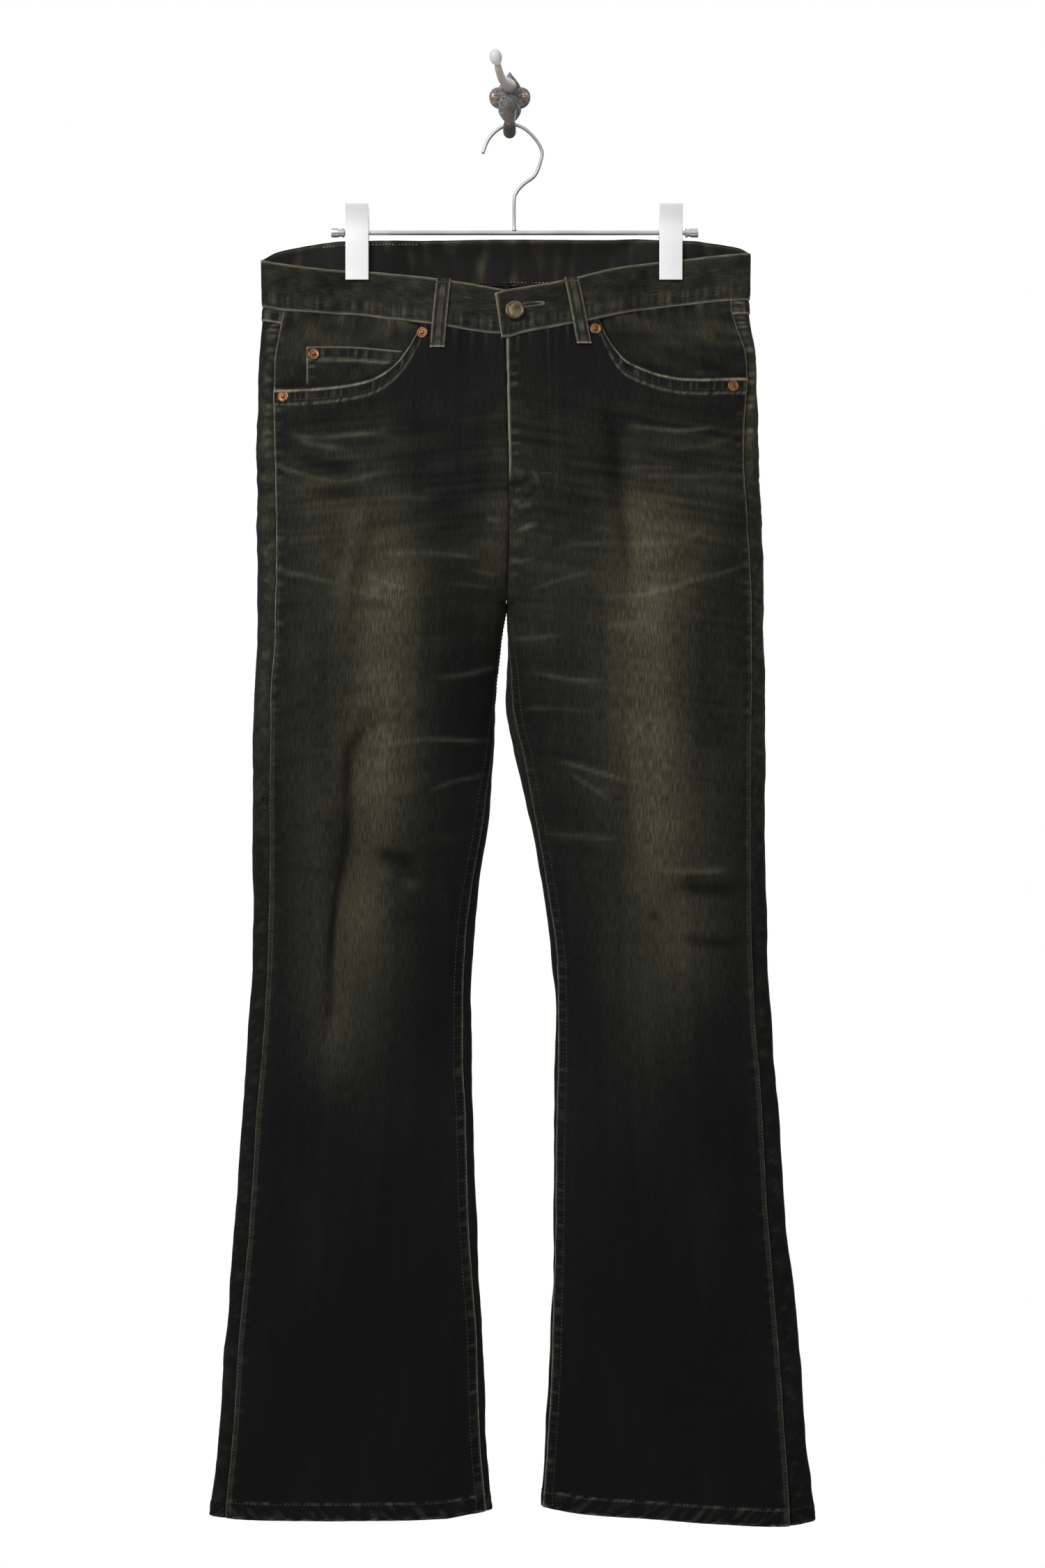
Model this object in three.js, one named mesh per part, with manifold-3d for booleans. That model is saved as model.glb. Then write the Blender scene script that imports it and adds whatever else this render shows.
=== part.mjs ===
// Flared denim jeans hanging by the waistband from a clip hanger, on a cast wall hook.
// Millimetres, +Z up. The origin is the middle of the wall plate's back face, +Y points into the wall,
// and the garment's front faces -Y. Right and left are the wearer's: the right leg lies at -X.
import * as THREE from 'three';
import { mergeVertices } from 'three/addons/utils/BufferGeometryUtils.js';
import Module from 'manifold-3d';

// Driving sizes of the garment
const CLOTH_WALL = 1.2;
const BAND_WALL = 2.6;
const BAND_PROUD = 0.8;
const HEM_WALL = 2.4;
const HEM_HEIGHT = 15;
const SEAM_GAP = 0.3;
const HANG_DEPTH = -38;
const CROTCH_Z = -446;
const RISE_TURN_Z = -330;
const SECTION_POWER = 0.88;

// Half-sections of the garment by height: the outer and inner edge of each side, the middle plane,
// how far front and back bulge from it, and how far each seam lies in from the edge, on the front.
const SECTION_COLUMNS = ['z', 'outRight', 'inRight', 'inLeft', 'outLeft', 'mid', 'front', 'back',
  'sideSeamRight', 'sideSeamLeft', 'inseamRight', 'inseamLeft'];
const SECTIONS = [
  [-120, -214.5, -3.2, -3.2, 207.5, -38, 23, 21, 18, 16, 0, 0],
  [-150, -214.0, -3.2, -3.2, 207.5, -38, 25, 23, 18, 16, 0, 0],
  [-190, -213.0, -3.2, -3.2, 206.5, -38.5, 29, 26, 18, 15, 0, 0],
  [-238, -216.0, -2.6, -2.6, 213.3, -41, 38, 31, 14, 9, 0, 0],
  [-286, -217.0, -1.6, -1.6, 214.0, -44, 45, 36, 15, 12, 0, 0],
  [-334, -218.0, -0.6, -0.6, 214.5, -47, 49, 40, 17, 14, 0, 0],
  [-382, -217.5, -0.3, -0.3, 217.0, -48, 50, 41, 18, 13, 0, 0],
  [-446, -217.0, -2.4, -2.4, 218.7, -47, 46, 39, 17, 12, 0, 0],
  [-478, -217.5, -7.5, -1.5, 218.9, -46, 43, 37, 17, 12, 0, 1],
  [-526, -220.5, -12.3, -3.9, 219.9, -45, 40, 35, 16, 12, 0, 6],
  [-574, -221.1, -14.1, 4.5, 219.9, -45, 37, 33, 16, 13, 1, 7],
  [-622, -221.7, -16.5, 15.3, 220.0, -45, 34, 31, 16, 13, 5, 5],
  [-694, -220.6, -26.7, 29.1, 221.1, -45, 29, 28, 15, 14, 6, 4],
  [-742, -221.1, -30.9, 35.7, 221.8, -45, 26, 25, 14, 14, 7, 4],
  [-790, -224.1, -32.7, 38.7, 224.1, -45, 24, 23, 14, 14, 7, 3],
  [-838, -227.1, -32.7, 38.7, 227.7, -45, 23, 22, 14, 14, 7, 3],
  [-886, -230.1, -31.5, 38.7, 231.9, -45, 22, 21, 13, 15, 6, 2],
  [-982, -236.7, -28.5, 36.9, 238.5, -45, 21, 20, 13, 16, 6, 2],
  [-1078, -244.5, -23.1, 35.1, 248.7, -45, 20, 19, 12, 18, 5, 2],
  [-1174, -251.1, -19.5, 29.7, 256.5, -45, 18, 18, 12, 19, 5, 2],
  [-1222, -257.8, -15.3, 26.9, 262.2, -45, 17, 17, 14, 22, 5, 2],
  [-1245, -258.6, -14.2, 27.2, 262.8, -45, 17, 17, 14, 22, 5, 2],
];

// The centre seams of front and back above the crotch, as rows of z and x
const CENTRE_SEAM = [[-120, -3.2], [-190, -3.2], [-238, -2.6], [-286, -1.6], [-334, -0.6], [-382, -0.4],
  [-446, -2.4]];

// Edges across the body as rows of x and z
const FRONT_TOP_RIGHT = [[-215, -149], [-200, -152.6], [-181, -155.6], [-162, -157.3], [-141, -158],
  [-120, -159], [-89, -164.3], [-63, -168.2], [-24, -174.4], [0, -178.4], [20, -180]];
const FRONT_TOP_LEFT = [[-13, -182.1], [-1.5, -178.7], [18, -175.5], [46, -169.7], [61, -166.3],
  [84, -160], [109, -154.2], [126, -151], [149, -148.5], [182, -146], [208, -143]];
const FRONT_LOW_RIGHT = [[-214, -190], [-193, -194.5], [-168, -196.2], [-143, -196.8], [-126, -198],
  [-103, -202], [-64, -209], [-8, -217.2], [20, -212]];
const FRONT_LOW_LEFT = [[-14, -221.5], [0, -221], [9, -218.1], [40, -211], [67, -205.4], [84, -201.3],
  [117, -193.2], [149, -188.7], [182, -186.3], [207, -184]];
const BACK_TOP = [[-215, -149], [-203, -141.5], [-190, -137.9], [-171, -134.6], [-145, -132.6],
  [-120, -132], [-88, -129.6], [0, -127.6], [105, -129.2], [128, -131.6], [152, -131.9], [176, -133.6],
  [200, -138], [208, -143]];
const BACK_BAND_HEIGHT = 40;
const YOKE_SIDE_DROP = 12;
const YOKE_CENTRE_Z = -231;
const POCKET_MOUTH_RIGHT = [[-202, -264], [-189, -264.6], [-160, -263.6], [-140, -261.5], [-123, -258],
  [-109, -251.4], [-97, -241.3], [-88.6, -230], [-79.7, -214.5], [-76, -207.2]];
const POCKET_MOUTH_LEFT = [[76, -203.4], [80.2, -213.8], [90, -230], [99.5, -239.9], [112.6, -246.2],
  [129, -252], [149, -255.2], [165, -255.4], [186, -254.3], [201, -253.6]];
const HEM_RIGHT = [[-259, -1230], [-217, -1232], [-130, -1231.8], [-57, -1230.8], [-34, -1227.6], [-14, -1225]];
const HEM_LEFT = [[26, -1222], [62, -1226.8], [117, -1230], [179, -1234.8], [234, -1237.6], [263, -1234.6]];

// Large folds: a line from one point to another, its height (a trough is negative) and its half-width
const FOLD_COLUMNS = ['face', 'x1', 'z1', 'x2', 'z2', 'height', 'spread'];
const FOLDS = [
  ['front', -108, -520, -137, -615, -9, 11],
  ['front', -132, -560, -146, -740, -10, 12],
  ['front', -143, -690, -160, -840, -6, 13],
  ['front', -84, -560, -112, -760, 5, 16],
  ['front', 89, -265, 101, -405, -7, 10],
  ['front', 97, -360, 108, -480, -7, 12],
  ['front', 104, -560, 100, -720, -4, 14],
  ['front', 148, -430, 140, -640, 5, 22],
  ['front', -160, -330, -60, -372, -5, 12],
  ['front', -175, -400, -72, -436, -4, 11],
  ['front', 168, -330, 62, -380, -5, 12],
  ['front', 176, -404, 96, -440, -4, 11],
  ['front', -78, -672, -116, -706, -4, 9],
  ['front', 128, -702, 176, -684, -4, 9],
  ['back', -190, -425, -60, -470, -7, 13],
  ['back', 62, -474, 188, -430, -7, 13],
  ['back', -170, -500, -70, -528, -4, 13],
  ['back', 76, -535, 176, -506, -4, 13],
  ['back', -190, -668, -84, -700, -5, 12],
  ['back', 90, -706, 186, -672, -5, 12],
  ['back', -150, -760, -120, -980, 4, 22],
  ['back', 140, -770, 128, -1010, 4, 22],
];

// Clip hanger
const CLIP_X = [-131.5, 139];
const CLIP_WIDTH = 20;
const PINCH_HALF = 2.25;
const PINCH_SPREAD = 34;
const PINCH_HOLD_Z = -172;
const PINCH_END_Z = -285;
const JAW_WALL = 1.6;
const ROD_Z = -125.2;
const ROD_RADIUS = 2;
const ROD_ENDS = [-151, 160];
const WIRE_RADIUS = 1.5;

const clamp = (value, low, high) => Math.min(high, Math.max(low, value));
const smoothStep = (from, to, value) => {
  const t = clamp((value - from) / (to - from), 0, 1);
  return t * t * (3 - 2 * t);
};

// A smooth line through rows of [x, y, ...], with flat slopes at turning points
function makeCurve(rows, column = 1) {
  const points = rows.map((row) => [row[0], row[column]]).sort((p, q) => p[0] - q[0]);
  const slope = (i) => (points[i + 1][1] - points[i][1]) / (points[i + 1][0] - points[i][0]);
  const last = points.length - 1;
  const tangent = points.map((point, i) => {
    if (i === 0) return slope(0);
    if (i === last) return slope(last - 1);
    const [before, after] = [slope(i - 1), slope(i)];
    return before * after <= 0 ? 0 : (2 * before * after) / (before + after);
  });
  return (x) => {
    if (x <= points[0][0]) return points[0][1];
    if (x >= points[last][0]) return points[last][1];
    let i = 0;
    while (x > points[i + 1][0]) i += 1;
    const step = points[i + 1][0] - points[i][0];
    const t = (x - points[i][0]) / step;
    return points[i][1] * (1 + 2 * t) * (1 - t) ** 2 + tangent[i] * step * t * (1 - t) ** 2
      + points[i + 1][1] * t * t * (3 - 2 * t) + tangent[i + 1] * step * t * t * (t - 1);
  };
}

const section = {};
SECTION_COLUMNS.slice(1).forEach((name, i) => {
  section[name] = makeCurve(SECTIONS, i + 1);
});
const folds = FOLDS.map((row) => Object.fromEntries(FOLD_COLUMNS.map((name, i) => [name, row[i]])));
const frontTop = { right: makeCurve(FRONT_TOP_RIGHT), left: makeCurve(FRONT_TOP_LEFT) };
const frontLow = { right: makeCurve(FRONT_LOW_RIGHT), left: makeCurve(FRONT_LOW_LEFT) };
const pocketMouth = { right: makeCurve(POCKET_MOUTH_RIGHT), left: makeCurve(POCKET_MOUTH_LEFT) };
const hemEdge = { right: makeCurve(HEM_RIGHT), left: makeCurve(HEM_LEFT) };
const backTop = makeCurve(BACK_TOP);
const backLow = (x) => backTop(x) - BACK_BAND_HEIGHT;

const centreSeam = makeCurve(CENTRE_SEAM);

const outerX = (side, z) => (side === 'right' ? section.outRight(z) : section.outLeft(z));
function innerX(side, z) {
  const part = side === 'right' ? -SEAM_GAP / 2 : SEAM_GAP / 2;
  if (z > CROTCH_Z) return centreSeam(z) + part;
  return (side === 'right' ? section.inRight(z) : section.inLeft(z)) + part;
}
const sideSeam = (side, z) => (side === 'right' ? section.sideSeamRight(z) : section.sideSeamLeft(z));
const inseam = (side, z) => (side === 'right' ? section.inseamRight(z) : section.inseamLeft(z));
const other = (face) => (face === 'front' ? 'back' : 'front');

// How far the rise has turned under between the legs: 0 on the body, 1 at the crotch and below
const riseTurn = (z) => clamp((RISE_TURN_Z - z) / (RISE_TURN_Z - CROTCH_Z), 0, 1);

// The clips squeeze front and back together near them
function pinch(x, z, depth) {
  const hold = 1 - smoothStep(PINCH_HOLD_Z, PINCH_END_Z, z);
  return CLIP_X.reduce((open, clipX) => {
    const near = 1 / (1 + ((x - clipX) / PINCH_SPREAD) ** 4);
    return open * (1 - hold * near * (1 - PINCH_HALF / depth));
  }, 1);
}

// Height of the folds above the plain form at x, z
function foldHeight(face, x, z) {
  return folds.filter((fold) => fold.face === face).reduce((sum, fold) => {
    const [dx, dz] = [fold.x2 - fold.x1, fold.z2 - fold.z1];
    const length = Math.hypot(dx, dz);
    const along = ((x - fold.x1) * dx + (z - fold.z1) * dz) / length ** 2;
    if (along <= 0 || along >= 1) return sum;
    const aside = ((x - fold.x1) * dz - (z - fold.z1) * dx) / length / fold.spread;
    const ends = smoothStep(0, 0.35, along) * smoothStep(1, 0.65, along);
    return sum + fold.height * ends * Math.exp(-aside * aside);
  }, 0);
}

// A point of the garment's outer face. The angle runs from 0 at the side edge to PI at centre front or
// the inner edge of a leg; past either end it goes round onto the other face.
function bodyPoint(side, face, angle, z) {
  const wraps = angle < 0 || angle > Math.PI;
  const onFace = wraps ? other(face) : face;
  const share = (1 - Math.cos(angle)) / 2;
  const [outer, inner] = [outerX(side, z), innerX(side, z)];
  const x = outer + (inner - outer) * share;
  const reach = 1 - share * (1 + riseTurn(z));
  const round = Math.sqrt(Math.max(0, 1 - reach * reach)) ** SECTION_POWER;
  const depth = section[onFace](z) * round;
  const bulge = depth * (depth > PINCH_HALF ? pinch(x, z, depth) : 1) + foldHeight(onFace, x, z) * round;
  return new THREE.Vector3(x, section.mid(z) + (onFace === 'front' ? -bulge : bulge), z);
}

// A point of the garment's outer face with its outward direction
function bodyFrame(side, face, angle, z) {
  const point = bodyPoint(side, face, angle, z);
  const step = 0.03;
  const next = z < CROTCH_Z ? angle + step : Math.min(Math.PI, angle + step);
  const across = bodyPoint(side, face, next, z).sub(bodyPoint(side, face, angle - step, z));
  const down = bodyPoint(side, face, angle, z - 1).sub(bodyPoint(side, face, angle, z + 1));
  const out = across.cross(down).normalize();
  if ((side === 'right') === (face === 'front')) out.negate();
  // Near its inner end a side never leans over the centre line
  const inward = side === 'right' ? 1 : -1;
  if (angle > 0.8 * Math.PI && out.x * inward < 0) out.setX(0).normalize();
  return { point, out };
}

const angleAt = (side, x, z) => {
  const share = (x - outerX(side, z)) / (innerX(side, z) - outerX(side, z));
  return Math.acos(1 - 2 * clamp(share, 0, 1));
};
const insetAngle = (side, inset, z) => {
  const share = inset / Math.abs(innerX(side, z) - outerX(side, z));
  return Math.acos(1 - 2 * share);
};
const sideOf = (x, z) => (x < centreSeam(z) ? 'right' : 'left');

// A point of the front or back face found by its x, for what lies on a panel
function faceFrame(face, x, z) {
  const side = sideOf(x, z);
  return bodyFrame(side, face, angleAt(side, x, z), z);
}

// Shares of a panel's width, closer together where the section turns round its edges
function spread(count, from, to) {
  const [halfWidth, halfDepth, turnWeight, samples] = [105, 32, 12, 400];
  const lengths = [0];
  for (let i = 1; i <= samples; i += 1) {
    const angle = from + ((to - from) * (i - 0.5)) / samples;
    const rate = Math.hypot(halfWidth * Math.sin(angle), halfDepth * Math.cos(angle));
    const turn = (halfWidth * halfDepth) / rate ** 2;
    lengths.push(lengths[i - 1] + (rate + turnWeight * turn) * ((to - from) / samples));
  }
  const total = lengths[samples];
  return Array.from({ length: count + 1 }, (unused, k) => {
    const wanted = (total * k) / count;
    const i = Math.max(1, lengths.findIndex((length) => length >= wanted - 1e-9));
    return (i - 1 + (wanted - lengths[i - 1]) / (lengths[i] - lengths[i - 1])) / samples;
  });
}

// A closed wall between an outer grid of points and the same grid moved in. frameAt gives the point and
// outward direction for a column and row, liftAt the height of the outer face and wallAt the thickness.
function wallGeometry(columns, rows, frameAt, liftAt, wallAt) {
  const outer = [];
  const inner = [];
  for (let i = 0; i <= columns; i += 1) {
    for (let j = 0; j <= rows; j += 1) {
      const { point, out } = frameAt(i, j);
      const lift = liftAt(i, j);
      outer.push(point.clone().addScaledVector(out, lift));
      inner.push(point.clone().addScaledVector(out, lift - wallAt(i, j)));
    }
  }
  const points = outer.concat(inner);
  const at = (i, j, layer) => layer * outer.length + i * (rows + 1) + j;
  const faces = [];
  const quad = (a, b, c, d) => faces.push(a, b, c, a, c, d);
  for (let i = 0; i < columns; i += 1) {
    for (let j = 0; j < rows; j += 1) {
      quad(at(i, j, 0), at(i + 1, j, 0), at(i + 1, j + 1, 0), at(i, j + 1, 0));
      quad(at(i, j + 1, 1), at(i + 1, j + 1, 1), at(i + 1, j, 1), at(i, j, 1));
    }
  }
  for (let i = 0; i < columns; i += 1) {
    quad(at(i, 0, 1), at(i + 1, 0, 1), at(i + 1, 0, 0), at(i, 0, 0));
    quad(at(i, rows, 0), at(i + 1, rows, 0), at(i + 1, rows, 1), at(i, rows, 1));
  }
  for (let j = 0; j < rows; j += 1) {
    quad(at(0, j, 0), at(0, j + 1, 0), at(0, j + 1, 1), at(0, j, 1));
    quad(at(columns, j, 1), at(columns, j + 1, 1), at(columns, j + 1, 0), at(columns, j, 0));
  }
  return closedGeometry(points, faces);
}

// Points and faces as a geometry whose faces point out
function closedGeometry(points, faces) {
  let volume = 0;
  for (let k = 0; k < faces.length; k += 3) {
    const [a, b, c] = [points[faces[k]], points[faces[k + 1]], points[faces[k + 2]]];
    volume += a.dot(b.clone().cross(c));
  }
  if (volume < 0) faces.reverse();
  const geometry = new THREE.BufferGeometry();
  geometry.setAttribute('position', new THREE.Float32BufferAttribute(points.flatMap((p) => p.toArray()), 3));
  geometry.setIndex(faces);
  return geometry;
}

// A round bar of changing thickness along a line of points, closed at both ends
function barGeometry(stops, radii, sides) {
  const curve = new THREE.CatmullRomCurve3(stops);
  const steps = (stops.length - 1) * 3;
  const frames = curve.computeFrenetFrames(steps, false);
  const radiusAt = makeCurve(radii.map((radius, i) => [i / (radii.length - 1), radius]));
  const points = [];
  for (let i = 0; i <= steps; i += 1) {
    const centre = curve.getPoint(i / steps);
    for (let k = 0; k < sides; k += 1) {
      const turn = (2 * Math.PI * k) / sides;
      const ring = frames.normals[i].clone().multiplyScalar(Math.cos(turn))
        .addScaledVector(frames.binormals[i], Math.sin(turn));
      points.push(centre.clone().addScaledVector(ring, radiusAt(i / steps)));
    }
  }
  const faces = [];
  for (let i = 0; i < steps; i += 1) {
    for (let k = 0; k < sides; k += 1) {
      const [a, b] = [i * sides + k, i * sides + ((k + 1) % sides)];
      faces.push(a, b, b + sides, a, b + sides, a + sides);
    }
  }
  const tail = steps * sides;
  for (let k = 1; k < sides - 1; k += 1) {
    faces.push(0, k + 1, k, tail, tail + k, tail + k + 1);
  }
  return closedGeometry(points, faces);
}

const model = new THREE.Group();
const finishes = {
  denim: { color: '#26272a', roughness: 0.92, metalness: 0 },
  copper: { color: '#9a6a3e', roughness: 0.4, metalness: 0.9 },
  brass: { color: '#7c6a4d', roughness: 0.45, metalness: 0.9 },
  chrome: { color: '#e6e6e6', roughness: 0.15, metalness: 1 },
  iron: { color: '#2b2725', roughness: 0.55, metalness: 0.7 },
  ceramic: { color: '#f2efe8', roughness: 0.2, metalness: 0 },
};
function addPiece(name, geometry, finish) {
  const mesh = new THREE.Mesh(geometry, new THREE.MeshStandardMaterial(finishes[finish]));
  mesh.name = name;
  model.add(mesh);
  return mesh;
}

// Main panels
const FRONT_COLUMNS = 16;
const BACK_COLUMNS = 20;
const TOP_ROWS = 5;
const TURN_ROWS = 6;
const LEG_ROWS = 21;
const PANEL_ROWS = TOP_ROWS + TURN_ROWS + LEG_ROWS + 2;
const CROTCH_ROW = TOP_ROWS + TURN_ROWS;
const KNEE_ROW = CROTCH_ROW + 10;
const SEAM_ANGLE = 0.0045;
const REFERENCE_SIDE = 0.54;
const REFERENCE_INSEAM = 0.3;
const BAND_SAMPLE_Z = -205;
const HEM_SAMPLE_Z = -1230;

// Height of a panel's row between its own top edge and its hem
function panelHeight(top, hem, row) {
  if (row <= TOP_ROWS) return top + ((RISE_TURN_Z - top) * row) / TOP_ROWS;
  if (row <= TOP_ROWS + TURN_ROWS) {
    const turn = Math.sin((Math.PI / 2) * ((row - TOP_ROWS) / TURN_ROWS));
    return RISE_TURN_Z + (CROTCH_Z - RISE_TURN_Z) * turn;
  }
  const stitched = hem + HEM_HEIGHT;
  const legRow = row - TOP_ROWS - TURN_ROWS;
  if (legRow <= LEG_ROWS) return CROTCH_Z + ((stitched - CROTCH_Z) * legRow) / LEG_ROWS;
  return legRow === LEG_ROWS + 1 ? stitched - 1 : hem;
}
// The crotch seams are parted by a small angle where the four panels meet
const crotchPart = (z) => 2 * SEAM_ANGLE * smoothStep(CROTCH_Z + 14, CROTCH_Z + 4, z);

function frontAngle(side, share, z) {
  const from = insetAngle(side, sideSeam(side, z), z) + SEAM_ANGLE;
  const to = Math.PI - insetAngle(side, inseam(side, z), z) - crotchPart(z);
  return from + (to - from) * share;
}
function backAngle(side, share, z) {
  const from = SEAM_ANGLE - insetAngle(side, sideSeam(side, z), z);
  const to = Math.PI + insetAngle(side, inseam(side, z), z) - crotchPart(z);
  return from + (to - from) * share;
}
// A panel as one or more solids, each from one row to another; the lower of two starts a small gap below
function addPanel(parts, side, face, columns, angleFor, shares, topFor) {
  const tops = shares.map((share) => topFor(share));
  const hemX = (share) => bodyPoint(side, face, angleFor(side, share, HEM_SAMPLE_Z), HEM_SAMPLE_Z).x;
  const hems = shares.map((share) => hemEdge[side](hemX(share)));
  for (const { name, from, to } of parts) {
    const frameAt = (i, j) => {
      const parting = j === 0 && from > 0 ? SEAM_GAP : 0;
      const z = panelHeight(tops[i], hems[i], from + j) - parting;
      return bodyFrame(side, face, angleFor(side, shares[i], z), z);
    };
    const wallAt = (i, j) => (from + j > PANEL_ROWS - 2 ? HEM_WALL : CLOTH_WALL);
    addPiece(name, wallGeometry(columns, to - from, frameAt, () => 0, wallAt), 'denim');
  }
}
// Height at which a column of a panel meets an edge that runs across the body
function meetEdge(side, face, angleFor, share, edge) {
  let z = BAND_SAMPLE_Z;
  for (let pass = 0; pass < 3; pass += 1) {
    z = edge(bodyPoint(side, face, angleFor(side, share, z), z).x, angleFor(side, share, z));
  }
  return z;
}
const frontBandEdge = (side, share) => meetEdge(side, 'front', frontAngle, share, frontLow[side]);
const backBandEdge = (side, share) => meetEdge(side, 'back', backAngle, share,
  (x, angle) => (angle < 0 ? frontLow[side](x) : backLow(x)));
function frontTopEdge(side, share) {
  const mouth = meetEdge(side, 'front', frontAngle, share, pocketMouth[side]);
  return Math.min(frontBandEdge(side, share) - SEAM_GAP, mouth);
}
function yokeSeam(side, share) {
  const edgeX = outerX(side, BAND_SAMPLE_Z);
  const sideZ = frontLow[side](edgeX) - YOKE_SIDE_DROP;
  const slope = (YOKE_CENTRE_Z - sideZ) / (innerX(side, BAND_SAMPLE_Z) - edgeX);
  return meetEdge(side, 'back', backAngle, share,
    (x, angle) => (angle < 0 ? frontLow[side](x) - YOKE_SIDE_DROP : sideZ + slope * (x - edgeX)));
}
const frontShares = spread(FRONT_COLUMNS, REFERENCE_SIDE, Math.PI - REFERENCE_INSEAM);
const backShares = spread(BACK_COLUMNS, -REFERENCE_SIDE, Math.PI + REFERENCE_INSEAM);
for (const side of ['right', 'left']) {
  addPanel([{ name: `front_${side}`, from: 0, to: PANEL_ROWS }], side, 'front', FRONT_COLUMNS, frontAngle,
    frontShares, (share) => frontTopEdge(side, share));
  addPanel([
    { name: `back_seat_${side}`, from: 0, to: CROTCH_ROW },
    { name: `back_thigh_${side}`, from: CROTCH_ROW, to: KNEE_ROW },
    { name: `back_shin_${side}`, from: KNEE_ROW, to: PANEL_ROWS },
  ], side, 'back', BACK_COLUMNS, backAngle, backShares, (share) => yokeSeam(side, share) - SEAM_GAP);
}

// Yokes, between the waistband and the back panels
const YOKE_ROWS = 3;
for (const side of ['right', 'left']) {
  const frameAt = (i, j) => {
    const top = backBandEdge(side, backShares[i]) - SEAM_GAP;
    const low = yokeSeam(side, backShares[i]);
    const z = top + ((low - top) * j) / YOKE_ROWS;
    return bodyFrame(side, 'back', backAngle(side, backShares[i], z), z);
  };
  addPiece(`yoke_${side}`, wallGeometry(BACK_COLUMNS, YOKE_ROWS, frameAt, () => 0, () => CLOTH_WALL), 'denim');
}

// Waistband: one strip that starts in the lap at centre front, goes round by the wearer's left side
// and the back, and ends under the lap
const LAP_END_X = -12.4;
const UNDERLAP_END_X = 16;
const LAP_RISE = 2.2;
const UNDERLAP_SINK = 0.8;
const BAND_ROWS = 2;
const bandPath = [];
[LAP_END_X, LAP_END_X / 2 - 2].forEach((x) => bandPath.push({ edge: 'left', face: 'front', x }));
for (const [side, outward] of [['left', true], ['right', false]]) {
  const front = frontShares.map((share) => ({ edge: side, side, face: 'front', angleFor: frontAngle, share }));
  const back = backShares.slice(1)
    .map((share) => ({ edge: side, side, face: 'back', angleFor: backAngle, share }));
  if (outward) bandPath.push(...front.reverse(), ...back);
  else bandPath.push(...back.reverse().slice(1), ...front);
}
[3, 9, UNDERLAP_END_X].forEach((x) => bandPath.push({ edge: 'right', face: 'front', x }));
function bandFrame(stop, j) {
  const edge = (x, angle) => {
    const onFront = stop.face === 'front' || angle < 0;
    const top = onFront ? frontTop[stop.edge](x) : backTop(x);
    const low = onFront ? frontLow[stop.edge](x) : backLow(x);
    return low + ((top - low) * j) / BAND_ROWS;
  };
  if (stop.side === undefined) return faceFrame('front', stop.x, edge(stop.x, 0));
  const z = meetEdge(stop.side, stop.face, stop.angleFor, stop.share, edge);
  return bodyFrame(stop.side, stop.face, stop.angleFor(stop.side, stop.share, z), z);
}
function bandLift(stop, j) {
  const x = bandFrame(stop, j).point.x;
  if (stop.face === 'back') return BAND_PROUD;
  return stop.edge === 'left'
    ? BAND_PROUD + LAP_RISE * smoothStep(36, 20, x)
    : BAND_PROUD - UNDERLAP_SINK * smoothStep(-34, -16, x);
}
addPiece('waistband', wallGeometry(bandPath.length - 1, BAND_ROWS, (i, j) => bandFrame(bandPath[i], j),
  (i, j) => bandLift(bandPath[i], j), () => BAND_WALL), 'denim');

// Front hip pockets: the facing seen in each curved mouth, which slopes in under the front panel
const FACING_IN = 3.5;
const FACING_BELOW = 18;
const FACING_ROWS = 8;
const FACING_INNER_X = 68;
function facingLift(side, x, z) {
  const above = z - pocketMouth[side](x);
  return -FACING_IN + (FACING_IN - 0.4) * smoothStep(8, 46, above);
}
for (const side of ['right', 'left']) {
  const reach = (share) => bodyPoint(side, 'front', frontAngle(side, share, BAND_SAMPLE_Z), BAND_SAMPLE_Z).x;
  const shares = frontShares.filter((share) => Math.abs(reach(share)) > FACING_INNER_X);
  const place = (i, j) => {
    const top = frontBandEdge(side, shares[i]) - SEAM_GAP;
    const mouth = meetEdge(side, 'front', frontAngle, shares[i], pocketMouth[side]);
    const low = Math.min(mouth, top - 10) - FACING_BELOW;
    return top + ((low - top) * j) / FACING_ROWS;
  };
  const frameAt = (i, j) => {
    const z = place(i, j);
    return bodyFrame(side, 'front', frontAngle(side, shares[i], z), z);
  };
  const liftAt = (i, j) => facingLift(side, frameAt(i, j).point.x, place(i, j));
  addPiece(`pocket_facing_${side}`,
    wallGeometry(shares.length - 1, FACING_ROWS, frameAt, liftAt, () => CLOTH_WALL), 'denim');
}

// Coin pocket on the right facing; its foot and inner end run in under the front panel
const COIN_TOP = makeCurve([[-176, -226.7], [-146, -225.6], [-120, -226.8], [-88, -231]]);
const COIN_X = [-174, -89];
const COIN_ROWS = 5;
const COIN_WALL = 0.9;
const COIN_BELOW = 12;
const COIN_SEAT = 0.75;
const facingShares = frontShares.filter((share) => {
  const { x } = bodyPoint('right', 'front', frontAngle('right', share, COIN_TOP(0)), COIN_TOP(0));
  return x > COIN_X[0] + 3 && x < COIN_X[1] - 3;
});
const shareAt = (x, z) => {
  const [from, to] = [frontAngle('right', 0, z), frontAngle('right', 1, z)];
  return (angleAt('right', x, z) - from) / (to - from);
};
const coinShares = [
  shareAt(COIN_X[0], COIN_TOP(COIN_X[0])),
  ...facingShares,
  shareAt(COIN_X[1], COIN_TOP(COIN_X[1])),
];
function coinHeight(i, j) {
  const top = meetEdge('right', 'front', frontAngle, coinShares[i], COIN_TOP);
  const mouth = meetEdge('right', 'front', frontAngle, coinShares[i], pocketMouth.right);
  const low = Math.min(mouth, top - 6) - COIN_BELOW;
  return top + ((low - top) * j) / COIN_ROWS;
}
const coinFrame = (i, j) => bodyFrame('right', 'front',
  frontAngle('right', coinShares[i], coinHeight(i, j)), coinHeight(i, j));
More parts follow.
